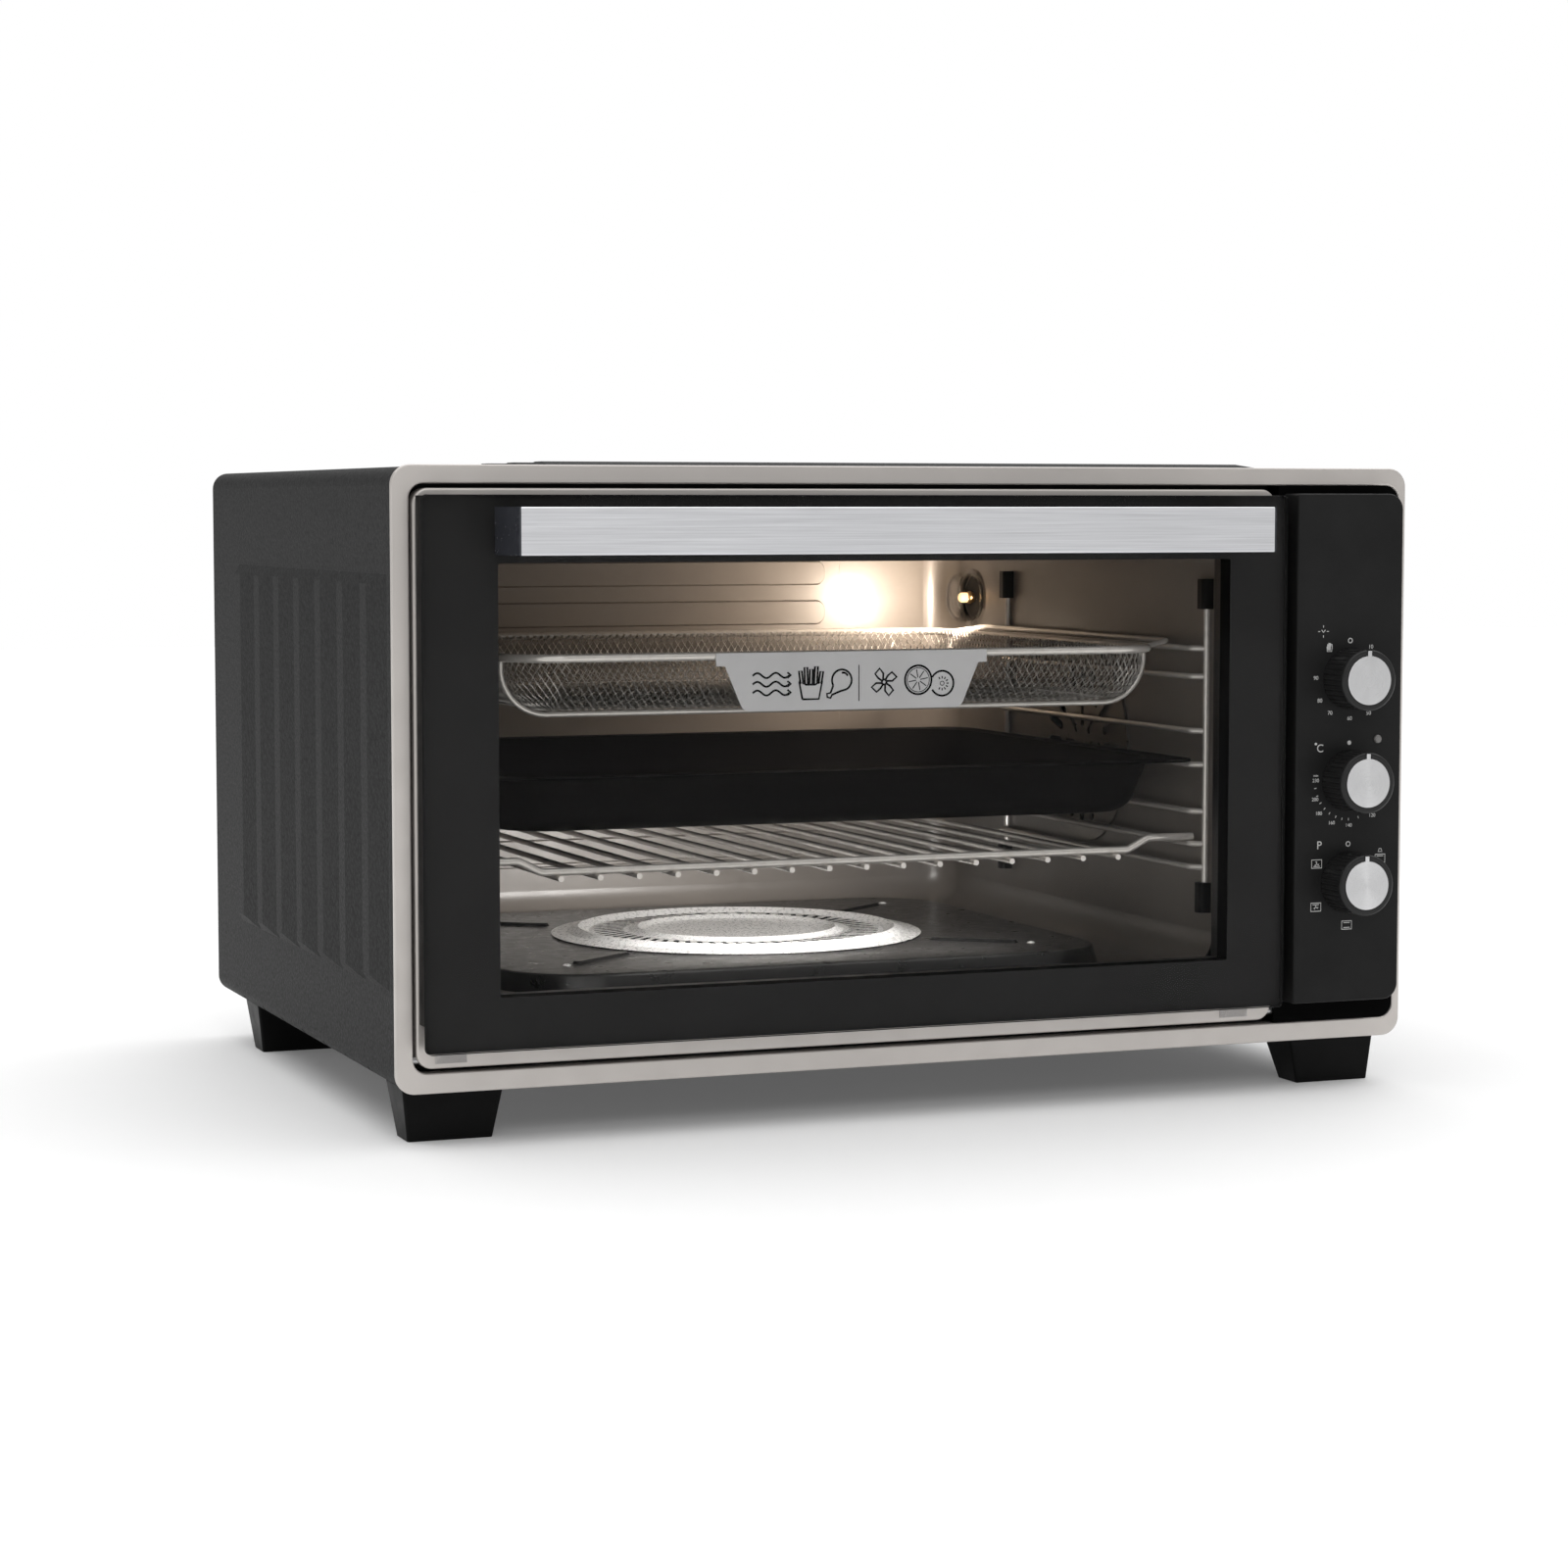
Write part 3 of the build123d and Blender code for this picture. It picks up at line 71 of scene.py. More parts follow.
# ---------------------------------------------------------------- materials
class Look:
    """A procedural material: a Principled shader fed by textures in the object's own metres."""

    def __init__(self, name, **plain):
        self.name = name
        self.material = bpy.data.materials.new(name)
        self.material.use_nodes = True
        self.tree = self.material.node_tree
        self.tree.nodes.clear()
        self.out = self.tree.nodes.new("ShaderNodeOutputMaterial")
        self.shader = self.tree.nodes.new("ShaderNodeBsdfPrincipled")
        self.tree.links.new(self.shader.outputs[0], self.out.inputs["Surface"])
        coordinates = self.tree.nodes.new("ShaderNodeTexCoord").outputs
        self.place, self.facing = coordinates["Object"], coordinates["Normal"]
        for socket, value in plain.items():
            self.shader.inputs[socket.replace("_", " ")].default_value = value

    def node(self, kind, inputs=(), out=0, **settings):
        made = self.tree.nodes.new("ShaderNode" + kind)
        for key, value in settings.items():
            setattr(made, key, value)
        for key, value in dict(inputs).items():
            if isinstance(value, bpy.types.NodeSocket):
                self.tree.links.new(value, made.inputs[key])
            else:
                made.inputs[key].default_value = value
        return made.outputs[out]

    def noise(self, scale, detail=3.0, rough=0.5, stretch=None):
        place = self.place
        if stretch:
            place = self.node("Mapping", {"Vector": self.place, "Scale": stretch})
        return self.node("TexNoise", {"Vector": place, "Scale": scale, "Detail": detail,
                                      "Roughness": rough})

    def sums(self, operation, a, b, c=0.0):
        return self.node("Math", {0: a, 1: b, 2: c}, operation=operation)

    def spread(self, value, low, high, start=0.3, end=0.7):
        return self.node("MapRange", {"Value": value, "From Min": start, "From Max": end,
                                      "To Min": low, "To Max": high})

    def blend(self, share, first, second):
        made = self.tree.nodes.new("ShaderNodeMix")
        made.data_type = "RGBA"
        for key, value in ((0, share), (6, first), (7, second)):
            if isinstance(value, bpy.types.NodeSocket):
                self.tree.links.new(value, made.inputs[key])
            else:
                made.inputs[key].default_value = (*value, 1.0) if key else value
        return made.outputs[2]

    def feed(self, socket, value):
        self.tree.links.new(value, self.shader.inputs[socket])

    def colour(self):
        """What feeds the base colour so far."""
        return self.shader.inputs["Base Color"].links[0].from_socket

    def faces_little(self, axis, least):
        """1 where the surface faces along the axis (0, 1, 2 for X, Y, Z) by less than a share."""
        part = self.node("SeparateXYZ", {0: self.facing}, axis)
        return self.sums("LESS_THAN", self.sums("ABSOLUTE", part, 0.0), least)

    def darken_sides(self, least_up, dark):
        """Surfaces that face sideways more than upwards get a dark base colour: painted shade, as if lit
        only from above.
        """
        self.feed("Base Color", self.blend(self.faces_little(2, least_up), self.colour(), dark))

    def glow(self, colour, strength):
        self.shader.inputs["Emission Color"].default_value = (*colour, 1.0)
        self.shader.inputs["Emission Strength"].default_value = strength

    def bump(self, height, distance, strength=1.0):
        self.feed("Normal", self.node("Bump", {"Height": height, "Distance": distance,
                                               "Strength": strength}))


def grey(value):
    return value, value, value


def shade(colour, factor):
    return tuple(c * factor for c in colour)


SKIN_SHARE = 0.35


def coated(name, colour, rough, spread=0.12, grain=900.0, depth=0.00004, cloud=14.0, vary=0.14, **plain):
    """Paint, enamel or moulded plastic: uneven tone, uneven gloss and a fine skin."""
    look = Look(name, **plain)
    skin = look.noise(grain, 2.0)
    clouds = look.sums("MULTIPLY", look.noise(cloud, 4.0), 1 - SKIN_SHARE)
    mottle = look.sums("MULTIPLY_ADD", skin, SKIN_SHARE, clouds)
    tone = look.spread(mottle, 0.0, 1.0, start=0.35, end=0.65)
    look.feed("Base Color", look.blend(tone, shade(colour, 1 - vary), shade(colour, 1 + vary)))
    look.feed("Roughness", look.spread(look.noise(cloud * 6, 3.0), rough - spread / 2, rough + spread / 2))
    look.bump(skin, depth)
    return look


def drawn(name, colour, rough, along, vary=0.16, depth=0.000012, metallic=1.0):
    """Bare metal with a grain: fine lines, long in the direction where the scale is small."""
    look = Look(name, Metallic=metallic)
    lines = look.noise(1.0, 4.0, 0.65, along)
    tone = look.spread(lines, 0.0, 1.0)
    look.feed("Base Color", look.blend(tone, shade(colour, 1 - vary), shade(colour, 1 + vary * 0.6)))
    look.feed("Roughness", look.spread(lines, rough - 0.06, rough + 0.1))
    look.bump(lines, depth)
    return look


HEAD_ON_MIRROR = 0.0015
SLANT_POWER = 3.5


def clear(name, tint, gloss_rough=0.0, mirror=0.42, smears=0.02, edge=None):
    """Thin glass: it lets light straight through and mirrors more at a slant, with faint smears.

    With an edge colour, the narrow sides of a pane that faces Y are opaque.
    """
    look = Look(name, Metallic=1.0, Base_Color=(1, 1, 1, 1))
    look.feed("Roughness", look.spread(look.noise(30.0, 5.0), gloss_rough, gloss_rough + smears))
    through = look.node("BsdfTransparent", {"Color": (*tint, 1.0)})
    slant = look.node("LayerWeight", {"Blend": 0.5}, 1)
    share = look.sums("MULTIPLY_ADD", look.sums("POWER", slant, SLANT_POWER), mirror, HEAD_ON_MIRROR)
    both = look.node("MixShader", {0: share, 1: through, 2: look.shader.outputs[0]})
    if edge:
        ground = look.node("BsdfDiffuse", {"Color": (*edge, 1.0)})
        both = look.node("MixShader", {0: look.faces_little(1, 0.5), 1: both, 2: ground})
    look.tree.links.new(both, look.out.inputs["Surface"])
    return look


# ---------------------------------------------------------------- finishes
DULL = dict(Specular_IOR_Level=0.1)
DARK = grey(0.006)
SATIN_METALLIC = 0.45


def satin(name):
    """The pale paint of the front frame and the door's liner."""
    return coated(name, (0.585, 0.55, 0.52), 0.34, grain=2600.0, depth=0.000006, vary=0.05,
                  Metallic=SATIN_METALLIC, Coat_Weight=0.15, Coat_Roughness=0.2)


def shell_finish():
    """Crackled black paint on the outer shell."""
    look = Look("shell_black", **DULL)
    skin = look.noise(620.0, 2.0, 0.6)
    clumps = look.node("TexVoronoi", {"Vector": look.place, "Scale": 420.0})
    height = look.sums("MULTIPLY_ADD", clumps, -0.5, skin)
    tone = look.spread(height, 0.0, 1.0, start=0.0, end=0.6)
    look.feed("Base Color", look.blend(tone, grey(0.012), grey(0.034)))
    look.feed("Roughness", look.spread(skin, 0.48, 0.7))
    look.bump(height, 0.00022, 0.8)
    return look


def casing_finishes():
    return [
        satin("frame_satin"),
        shell_finish(),
        coated("sheet_black", grey(0.012), 0.5, grain=700.0, **DULL),
        coated("zinc_sheet", (0.03, 0.03, 0.031), 0.55, grain=520.0, depth=0.0001, **DULL),
        coated("gland_rubber", grey(0.014), 0.7, grain=1500.0, **DULL),
        coated("foot_plastic", grey(0.003), 0.42, grain=1300.0, depth=0.00003, **DULL),
        coated("seal_silicone", grey(0.02), 0.55, grain=1500.0, **DULL),
        coated("panel_black", grey(0.0135), 0.42, grain=1800.0, depth=0.000018, cloud=40.0, **DULL),
        coated("unit_plastic", grey(0.05), 0.5, grain=1300.0, **DULL),
        coated("knob_plastic", grey(0.016), 0.36, grain=2200.0, depth=0.00002, cloud=120.0,
               Specular_IOR_Level=0.25),
        coated("handle_end_black", (0.03, 0.0315, 0.038), 0.22, grain=1700.0, depth=0.00001, cloud=60.0,
               Specular_IOR_Level=0.45),
        coated("indicator_grey", (0.14, 0.135, 0.13), 0.2, grain=900.0, depth=0.00001, cloud=300.0,
               Coat_Weight=0.6, Coat_Roughness=0.05),
        coated("badge_silver", (0.62, 0.625, 0.64), 0.42, grain=2400.0, depth=0.000008, cloud=50.0,
               vary=0.05, Metallic=0.15),
    ]


def cavity_finishes():
    floor = coated("floor_enamel", (0.05, 0.049, 0.048), 0.32, grain=560.0, depth=0.000004, cloud=20.0,
                   vary=0.1, Coat_Weight=0.2, Coat_Roughness=0.2)
    # painted shade: the floor plate's steep sides get a near-black base colour
    floor.darken_sides(0.7, DARK)
    return [
        floor,
        coated("cavity_enamel", (0.185, 0.166, 0.148), 0.36, spread=0.1, grain=500.0, depth=0.00001,
               cloud=9.0, vary=0.07, Coat_Weight=0.2, Coat_Roughness=0.18),
        coated("tray_enamel", (0.0045, 0.0042, 0.004), 0.55, grain=800.0, depth=0.000005, cloud=24.0,
               IOR=1.15, **DULL),
        coated("holder_black", grey(0.008), 0.4, grain=1400.0, **DULL),
    ]


def metal_finishes():
    disc = drawn("disc_steel", (0.95, 0.945, 0.935), 0.28, (500, 500, 90), vary=0.07, depth=0.000005,
                 metallic=0.3)
    # painted shade: the disc's near-upright faces, its slot walls among them, get a near-black base colour
    disc.darken_sides(0.35, grey(0.012))
    return [
        disc,
        drawn("heater_sheath", (0.17, 0.165, 0.16), 0.42, (380, 380, 380), vary=0.3),
        drawn("bracket_steel", grey(0.5), 0.35, (300, 300, 900)),
        drawn("wire_chrome", (0.8, 0.77, 0.73), 0.16, (240, 240, 240), vary=0.1, depth=0.00001,
              metallic=0.5),
        drawn("mesh_steel", (0.84, 0.81, 0.77), 0.34, (320, 320, 320), vary=0.15, metallic=0.5),
        drawn("fan_steel", (0.2, 0.19, 0.175), 0.32, (60, 900, 900)),
        drawn("motor_steel", grey(0.34), 0.4, (900, 200, 200)),
        drawn("spindle_steel", grey(0.6), 0.3, (120, 1400, 120)),
        drawn("handle_steel", (0.73, 0.735, 0.755), 0.36, (14, 1500, 1500), vary=0.13),
    ]


def glass_finishes():
    bulb = coated("bulb_glass", (1.0, 0.66, 0.34), 0.15, cloud=400.0, vary=0.2)
    bulb.glow((1.0, 0.62, 0.3), 1.4)
    return [
        clear("door_glass", (0.962, 0.96, 0.957), edge=grey(0.02)),
        clear("lens_glass", (0.94, 0.93, 0.91), 0.03, 0.8, 0.06),
        coated("clip_plastic", (0.72, 0.72, 0.74), 0.25, grain=1600.0, depth=0.00001, cloud=150.0,
               Alpha=0.2),
        bulb,
    ]


finishes = {look.name: look for look in (*casing_finishes(), *cavity_finishes(), *metal_finishes(),
                                         *glass_finishes())}


RINGS_PER_METRE = 9000.0


def spun_finish(name, node):
    """A turned metal face: rings about its middle and a highlight that fans out from it."""
    low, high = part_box(node)
    middle = Vector(((low.x + high.x) / 2, 0, low.z + (high.x - low.x) / 2))
    look = Look(name, Metallic=1.0, Anisotropic=0.85)
    arm = look.node("VectorMath", {0: look.place, 1: middle}, operation="SUBTRACT")
    flat = look.node("VectorMath", {0: arm, 1: (1, 0, 1)}, operation="MULTIPLY")
    reach = look.node("VectorMath", {0: flat}, 1, operation="LENGTH")
    rings = look.node("TexNoise", {"W": look.sums("MULTIPLY", reach, RINGS_PER_METRE), "Scale": 1.0,
                                   "Detail": 3.0}, noise_dimensions="1D")
    look.feed("Base Color", look.blend(look.spread(rings, 0.0, 1.0), (0.52, 0.52, 0.525),
                                       (0.7, 0.7, 0.705)))
    look.feed("Roughness", look.spread(rings, 0.26, 0.36))
    look.feed("Tangent", look.node("VectorMath", {0: flat, 1: (0, 1, 0)}, operation="CROSS_PRODUCT"))
    look.bump(rings, 0.00001)
    return look


def dress(node, look):
    """Give a CAD node its material."""
    nodes[node].data.materials.clear()
    nodes[node].data.materials.append(look.material)


slots = {part["node"]: part["material_slot"] for part in frame["record"]["subparts"]}
for name in nodes:
    slot = slots[name]
    dress(name, spun_finish(f"{name}_spun", name) if slot == "knob_metal" else finishes[slot])


# ---------------------------------------------------------------- mesh helpers
def piece_from(name, bm, body, material, smooth=False):
    mesh = bpy.data.meshes.new(name)
    bmesh.ops.recalc_face_normals(bm, faces=bm.faces)
    bm.to_mesh(mesh)
    bm.free()
    return piece_of(name, mesh, body, material, smooth)


def piece_of(name, mesh, body, material, smooth=False):
    if smooth:
        mesh.polygons.foreach_set("use_smooth", [True] * len(mesh.polygons))
    mesh.materials.append(material)
    thing = bpy.data.objects.new(name, mesh)
    bpy.context.scene.collection.objects.link(thing)
    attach(thing, body)
    return thing


def polar(cx, cz, radius, degrees):
    a = math.radians(degrees)
    return cx + radius * math.cos(a), cz + radius * math.sin(a)


def arc(cx, cz, radius, start=0.0, end=360.0, steps=24):
    """Points along a circle's arc, anticlockwise from +X; a full turn leaves its last point out."""
    full = abs(end - start) >= 360
    return [polar(cx, cz, radius, start + (end - start) * i / steps)
            for i in range(steps if full else steps + 1)]


def rounded(x0, x1, z0, z1, radius, steps=6):
    """Outline of a rounded rectangle, anticlockwise, as (x, z)."""
    outline = []
    for cx, cz, start in ((x1 - radius, z1 - radius, 0), (x0 + radius, z1 - radius, 90),
                          (x0 + radius, z0 + radius, 180), (x1 - radius, z0 + radius, 270)):
        outline += arc(cx, cz, radius, start, start + 90, steps)
    return outline


def grown(sides, by):
    """A rectangle's left, right, bottom and top moved outwards."""
    x0, x1, z0, z1 = sides
    return x0 - by, x1 + by, z0 - by, z1 + by


def slab(bm, outline, y0, y1, hole=None):
    """A flat piece between two depths, facing -Y, with an outline and maybe a matching hole."""
    loops = [[bm.verts.new((x, y, z)) for x, z in ring]
             for ring in ([outline, hole] if hole else [outline]) for y in (y0, y1)]
    count = len(outline)
    for i in range(count):
        j = (i + 1) % count
        bm.faces.new((loops[0][i], loops[0][j], loops[1][j], loops[1][i]))
        if hole:
            bm.faces.new((loops[2][i], loops[3][i], loops[3][j], loops[2][j]))
            bm.faces.new((loops[0][i], loops[2][i], loops[2][j], loops[0][j]))
            bm.faces.new((loops[1][i], loops[1][j], loops[3][j], loops[3][i]))
    if not hole:
        bm.faces.new(loops[0])
        bm.faces.new(loops[1])


def stroke(bm, points, width, y0, y1, closed=False):
    """A printed line of even width through (x, z) points."""
    count = len(points)
    spots = []
    for i, (x, z) in enumerate(points):
        before = points[i - 1] if (i or closed) else points[i]
        after = points[(i + 1) % count] if (i < count - 1 or closed) else points[i]
        way = Vector((after[0] - before[0], after[1] - before[1])).normalized()
        side = Vector((-way.y, way.x)) * width / 2
        spots.append([bm.verts.new((x + s * side.x, y, z + s * side.y))
                      for s, y in ((1, y0), (-1, y0), (-1, y1), (1, y1))])
    for i in range(count if closed else count - 1):
        a, b = spots[i], spots[(i + 1) % count]
        for k in range(4):
            bm.faces.new((a[k], a[(k + 1) % 4], b[(k + 1) % 4], b[k]))
    if not closed:
        bm.faces.new(spots[0])
        bm.faces.new(spots[-1])


def join_rings(bm, rings):
    """Bands of faces between rings of as many vertices each."""
    for a, b in zip(rings, rings[1:]):
        for k in range(len(a)):
            j = (k + 1) % len(a)
            bm.faces.new((a[k], a[j], b[j], b[k]))


def add_tube(verts, faces, points, offsets, radius, sides=4):
    """A thin round wire through points, moved along the given offsets, added to plain lists."""
    first = len(verts)
    count = len(points)
    path = [p + o for p, o in zip(points, offsets)]
    for i, p in enumerate(path):
        way = (path[min(i + 1, count - 1)] - path[max(i - 1, 0)]).normalized()
        up = offsets[i].normalized() if offsets[i].length else way.orthogonal().normalized()
        side = way.cross(up).normalized()
        up = side.cross(way)
        for k in range(sides):
            a = math.pi * (0.5 + 2 * k) / sides
            verts.append(p + (side * math.cos(a) + up * math.sin(a)) * radius)
    for i in range(count - 1):
        for k in range(sides):
            a, b = first + i * sides + k, first + i * sides + (k + 1) % sides
            faces.append((a, b, b + sides, a + sides))
    faces.append(tuple(first + k for k in reversed(range(sides))))
    faces.append(tuple(first + (count - 1) * sides + k for k in range(sides)))


# ---------------------------------------------------------------- door: printed border and window lining
# the clear window's left, right, bottom and top
WINDOW = [side * MM for side in (-230.0, 168.6, 73.0, 284.0)]
WINDOW_CORNER = 1.2 * MM
BORDER_IN, BORDER_CORNER = 0.15 * MM, 2.4 * MM
# depths behind the pane: the border's two faces and the lining's front
BORDER_FRONT, BORDER_BACK, LINING_FRONT = 0.03 * MM, 0.34 * MM, 0.36 * MM
LINING_T, LINER_GAP = 1.5 * MM, 0.05 * MM
LINER_DARK_OUT = 1.2 * MM

glass_low, glass_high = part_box("outer_glass")


def liner_finish():
    """The door liner: satin outside, black where it lines the window."""
    x0, x1, z0, z1 = WINDOW
    look = satin("liner_satin")
    parts = look.tree.nodes.new("ShaderNodeSeparateXYZ")
    look.tree.links.new(look.place, parts.inputs[0])
    near = []
    for axis, first, last in (("X", x0, x1), ("Z", z0, z1)):
        away = look.sums("ABSOLUTE", look.sums("SUBTRACT", parts.outputs[axis], (first + last) / 2), 0.0)
        near.append(look.sums("LESS_THAN", away, (last - first) / 2 + LINER_DARK_OUT))
    inside = look.sums("MULTIPLY", near[0], near[1])
    look.feed("Base Color", look.blend(inside, look.colour(), DARK))
    look.feed("Metallic", look.spread(inside, SATIN_METALLIC, 0.0, start=0.0, end=1.0))
    return look


def glass_border():
    """The black border printed on the back of the outer pane."""
    look = coated("printed_black", grey(0.0215), 0.55, grain=2600.0, depth=0.000006, cloud=30.0,
                  vary=0.08, Specular_IOR_Level=0.05)
    pane = glass_low.x, glass_high.x, glass_low.z, glass_high.z
    bm = bmesh.new()
    slab(bm, rounded(*grown(pane, -BORDER_IN), BORDER_CORNER), glass_high.y + BORDER_FRONT,
         glass_high.y + BORDER_BACK, rounded(*WINDOW, WINDOW_CORNER))
    piece_from("glass_border", bm, "door", look.material)


def window_lining(look):
    """The black sleeve between the pane and the liner, around the window."""
    liner_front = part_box("door_liner")[0].y
    bm = bmesh.new()
    slab(bm, rounded(*grown(WINDOW, LINING_T), WINDOW_CORNER + LINING_T), glass_high.y + LINING_FRONT,
         liner_front - LINER_GAP, rounded(*WINDOW, WINDOW_CORNER))
    piece_from("window_lining", bm, "door", look.material)


dress("door_liner", liner_finish())
glass_border()
lining_black = coated("lining_black", grey(0.002), 0.6, grain=1500.0, depth=0.00001,
                      Specular_IOR_Level=0.02)
window_lining(lining_black)
dress("control_backing", lining_black)


# ---------------------------------------------------------------- basket: woven mesh
WIRE_R, WIRE_LIFT = 0.3 * MM, 0.2 * MM
PITCH, RISE = 4.2 * MM, 7.0 * MM
WEAVE_BEND, WEAVE_IN = 21 * MM, 0.7 * MM
FLOOR_UP, TOP_DOWN = 0.5 * MM, 0.2 * MM
FLOOR_CORNER, TOP_CORNER = 2.5 * MM, 23.5 * MM
# how a floor wire's end is pulled back to the outline, and how flat it ends
END_STEP, END_LEAST, END_LIFT = 0.1, 0.05, 0.3


def corner_pieces(half_x, half_y, radius, cx, cy):
    """The eight pieces of a rounded rectangle seen from above: four straights, four corners."""
    made = []
    corners = [(1, 1, 0), (-1, 1, 90), (-1, -1, 180), (1, -1, 270)]
    for i, (sx, sy, start) in enumerate(corners):
        px, py = cx + sx * (half_x - radius), cy + sy * (half_y - radius)

        def bend(f, px=px, py=py, start=start):
            return Vector((*polar(px, py, radius, start + 90 * f), 0))
        made.append((bend, radius * math.pi / 2))
        nx, ny, _ = corners[(i + 1) % 4]
        qx, qy = cx + nx * (half_x - radius), cy + ny * (half_y - radius)
        shift = Vector((*polar(0, 0, radius, start + 90), 0))
        begin, end = Vector((px, py, 0)) + shift, Vector((qx, qy, 0)) + shift

        def run(f, begin=begin, end=end):
            return begin.lerp(end, f)
        made.append((run, (end - begin).length))
    return made


def round_spot(pieces, share):
    """A point at a share of the way round, by the length of the given pieces."""
    total = sum(length for _, length in pieces)
    left = (share % 1.0) * total
    for index, (_, length) in enumerate(pieces):
        if left <= length:
            return index, left / length
        left -= length
    return len(pieces) - 1, 1.0


def weave_walls(verts, faces, bottom, top, floor_z, top_z):
    """Two sets of wires that climb round the basket in opposite ways."""
    around = round(sum(length for _, length in top) / PITCH)
    curved = WEAVE_BEND * math.pi / 2
    wall = curved + top_z - floor_z - WEAVE_BEND
    rows = round(wall / RISE)

    def wall_point(share, t):
        """A point on the wall, which rises from the floor through a round bend, and its way out."""
        index, f = round_spot(top, share)
        below, above = bottom[index][0](f), top[index][0](f)
        a = min(t * wall / WEAVE_BEND, math.pi / 2)
        spot = below.lerp(above, math.sin(a))
        spot.z = floor_z + WEAVE_BEND * (1 - math.cos(a)) + max(t * wall - curved, 0.0)
        across = Vector((above.x - below.x, above.y - below.y, 0)).normalized()
        return spot, across * math.sin(a) - Vector((0, 0, math.cos(a)))

    for way in (1, -1):
        for i in range(around):
            points, offsets = [], []
            for j in range(2 * rows + 1):
                spot, out = wall_point((i + way * j / 2) / around, j / (2 * rows))
                points.append(spot)
                offsets.append(out * (WIRE_LIFT * way * (1 if j % 2 else -1)))
            add_tube(verts, faces, points, offsets, WIRE_R)


def weave_floor(verts, faces, half_x, half_y, cx, cy, floor_z):
    """Two sets of slanted wires across the floor, cut to its rounded outline."""
    def inside(x, y):
        dx, dy = abs(x) - (half_x - FLOOR_CORNER), abs(y) - (half_y - FLOOR_CORNER)
        if dx > 0 and dy > 0:
            return math.hypot(dx, dy) <= FLOOR_CORNER
        return dx <= FLOOR_CORNER and dy <= FLOOR_CORNER

    def wire_end(point, step):
        """One more point, as far along the step as the outline lets it."""
        reach = 1.0
        while reach > END_LEAST and not inside(point.x + step.x * reach - cx,
                                               point.y + step.y * reach - cy):
            reach -= END_STEP
        return point + step * max(reach, END_LEAST)

    span = int(half_x / PITCH + half_y / RISE) + 2
    for way in (1, -1):
        for m in range(-span, span + 1):
            points, offsets = [], []
            for n in range(-span, span + 1):
                x = (m + n) / 2 * PITCH
                y = way * (n - m) / 2 * RISE
                if inside(x, y):
                    points.append(Vector((cx + x, cy + y, floor_z)))
                    offsets.append(Vector((0, 0, WIRE_LIFT * way * (1 if (m + n) % 2 else -1))))
            if len(points) > 1:
                first = wire_end(points[0], points[0] - points[1])
                last = wire_end(points[-1], points[-1] - points[-2])
                points = [first, *points, last]
                offsets = [offsets[0] * END_LIFT, *offsets, offsets[-1] * END_LIFT]
                add_tube(verts, faces, points, offsets, WIRE_R)


def weave_basket():
    low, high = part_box("basket_mesh")
    cx, cy = (low.x + high.x) / 2, (low.y + high.y) / 2
    top_x, top_y = (high.x - low.x) / 2 - WEAVE_IN, (high.y - low.y) / 2 - WEAVE_IN
    half_x, half_y = top_x - WEAVE_BEND, top_y - WEAVE_BEND
    floor_z = low.z + FLOOR_UP
    bottom = corner_pieces(half_x, half_y, FLOOR_CORNER, cx, cy)
    top = corner_pieces(top_x, top_y, TOP_CORNER, cx, cy)
    verts, faces = [], []
    weave_walls(verts, faces, bottom, top, floor_z, high.z - TOP_DOWN)
    weave_floor(verts, faces, half_x, half_y, cx, cy, floor_z)
    mesh = bpy.data.meshes.new("basket_weave")
    mesh.from_pydata(verts, [], faces)
    mesh.update()
    thing = piece_of("basket_weave", mesh, "basket", finishes["mesh_steel"].material, True)
    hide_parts("basket_mesh")


weave_basket()


# ---------------------------------------------------------------- basket: pictograms on the badge
# all in millimetres from the badge's middle
BADGE_DOWN = 1.2 * MM
INK_OUT, INK_IN = 0.08 * MM, 0.02 * MM
LINE, THIN, FINE, SEED = 1.05 * MM, 0.5 * MM, 0.4 * MM, 0.6 * MM

badge_low, badge_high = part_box("basket_badge")
badge_x = (badge_low.x + badge_high.x) / 2
badge_z = (badge_low.z + badge_high.z) / 2 - BADGE_DOWN
badge = bmesh.new()


def mark(points, closed=False, width=LINE):
    stroke(badge, [(badge_x + x * MM, badge_z + z * MM) for x, z in points], width,
           badge_low.y - INK_OUT, badge_low.y + INK_IN, closed)


def wave(x0, z0, length, height, turns):
    steps = 10 * turns
    return [(x0 + length * i / steps, z0 + height * math.sin(2 * math.pi * turns * i / steps))
            for i in range(steps + 1)]


def hot_air():
    for row in (-4.4, 0.0, 4.4):
        mark(wave(-55, row, 20, 1.3, 2))
        mark([(-36.2, row + 1.4), (-34.2, row), (-36.2, row - 1.4)])


def box_of_fries():
    mark([(-28, -8), (-19, -8), (-17.2, 1), (-21, -0.6), (-26, -0.6), (-29.8, 1), (-28, -8)])
    foot, half = -0.3, 0.8
    for x, top, lean in ((-28.3, 6.4, -0.8), (-25.8, 8.2, -0.3), (-23.3, 7.2, 0.2), (-20.8, 8.6, 0.5),
                         (-18.4, 6.0, 1.0)):
        mark([(x - half, foot), (x - half + lean, top), (x + half + lean, top), (x + half, foot)])


def drumstick():
    mark(arc(-6.4, 1.4, 5.4, -60, 210, 22))
    mark([(-11.1, -1.3), (-12.6, -5.0), (-14.6, -5.4), (-14.4, -7.2), (-12.6, -7.6), (-11.8, -6.0),
          (-7.2, -4.2), (-3.7, -3.3)])
    mark(arc(-5.6, 2.6, 2.6, 20, 110, 8))


def fan_sign(x, z):
    blade = ((1.6, 0), (4.5, -14), (7.4, 0), (6.6, 30), (3.8, 38), (1.6, 40))
    for turn in range(4):
        mark([polar(x, z, radius, 90 * turn + 20 + swing) for radius, swing in blade])
    mark(arc(x, z, 1.3, steps=14), True)


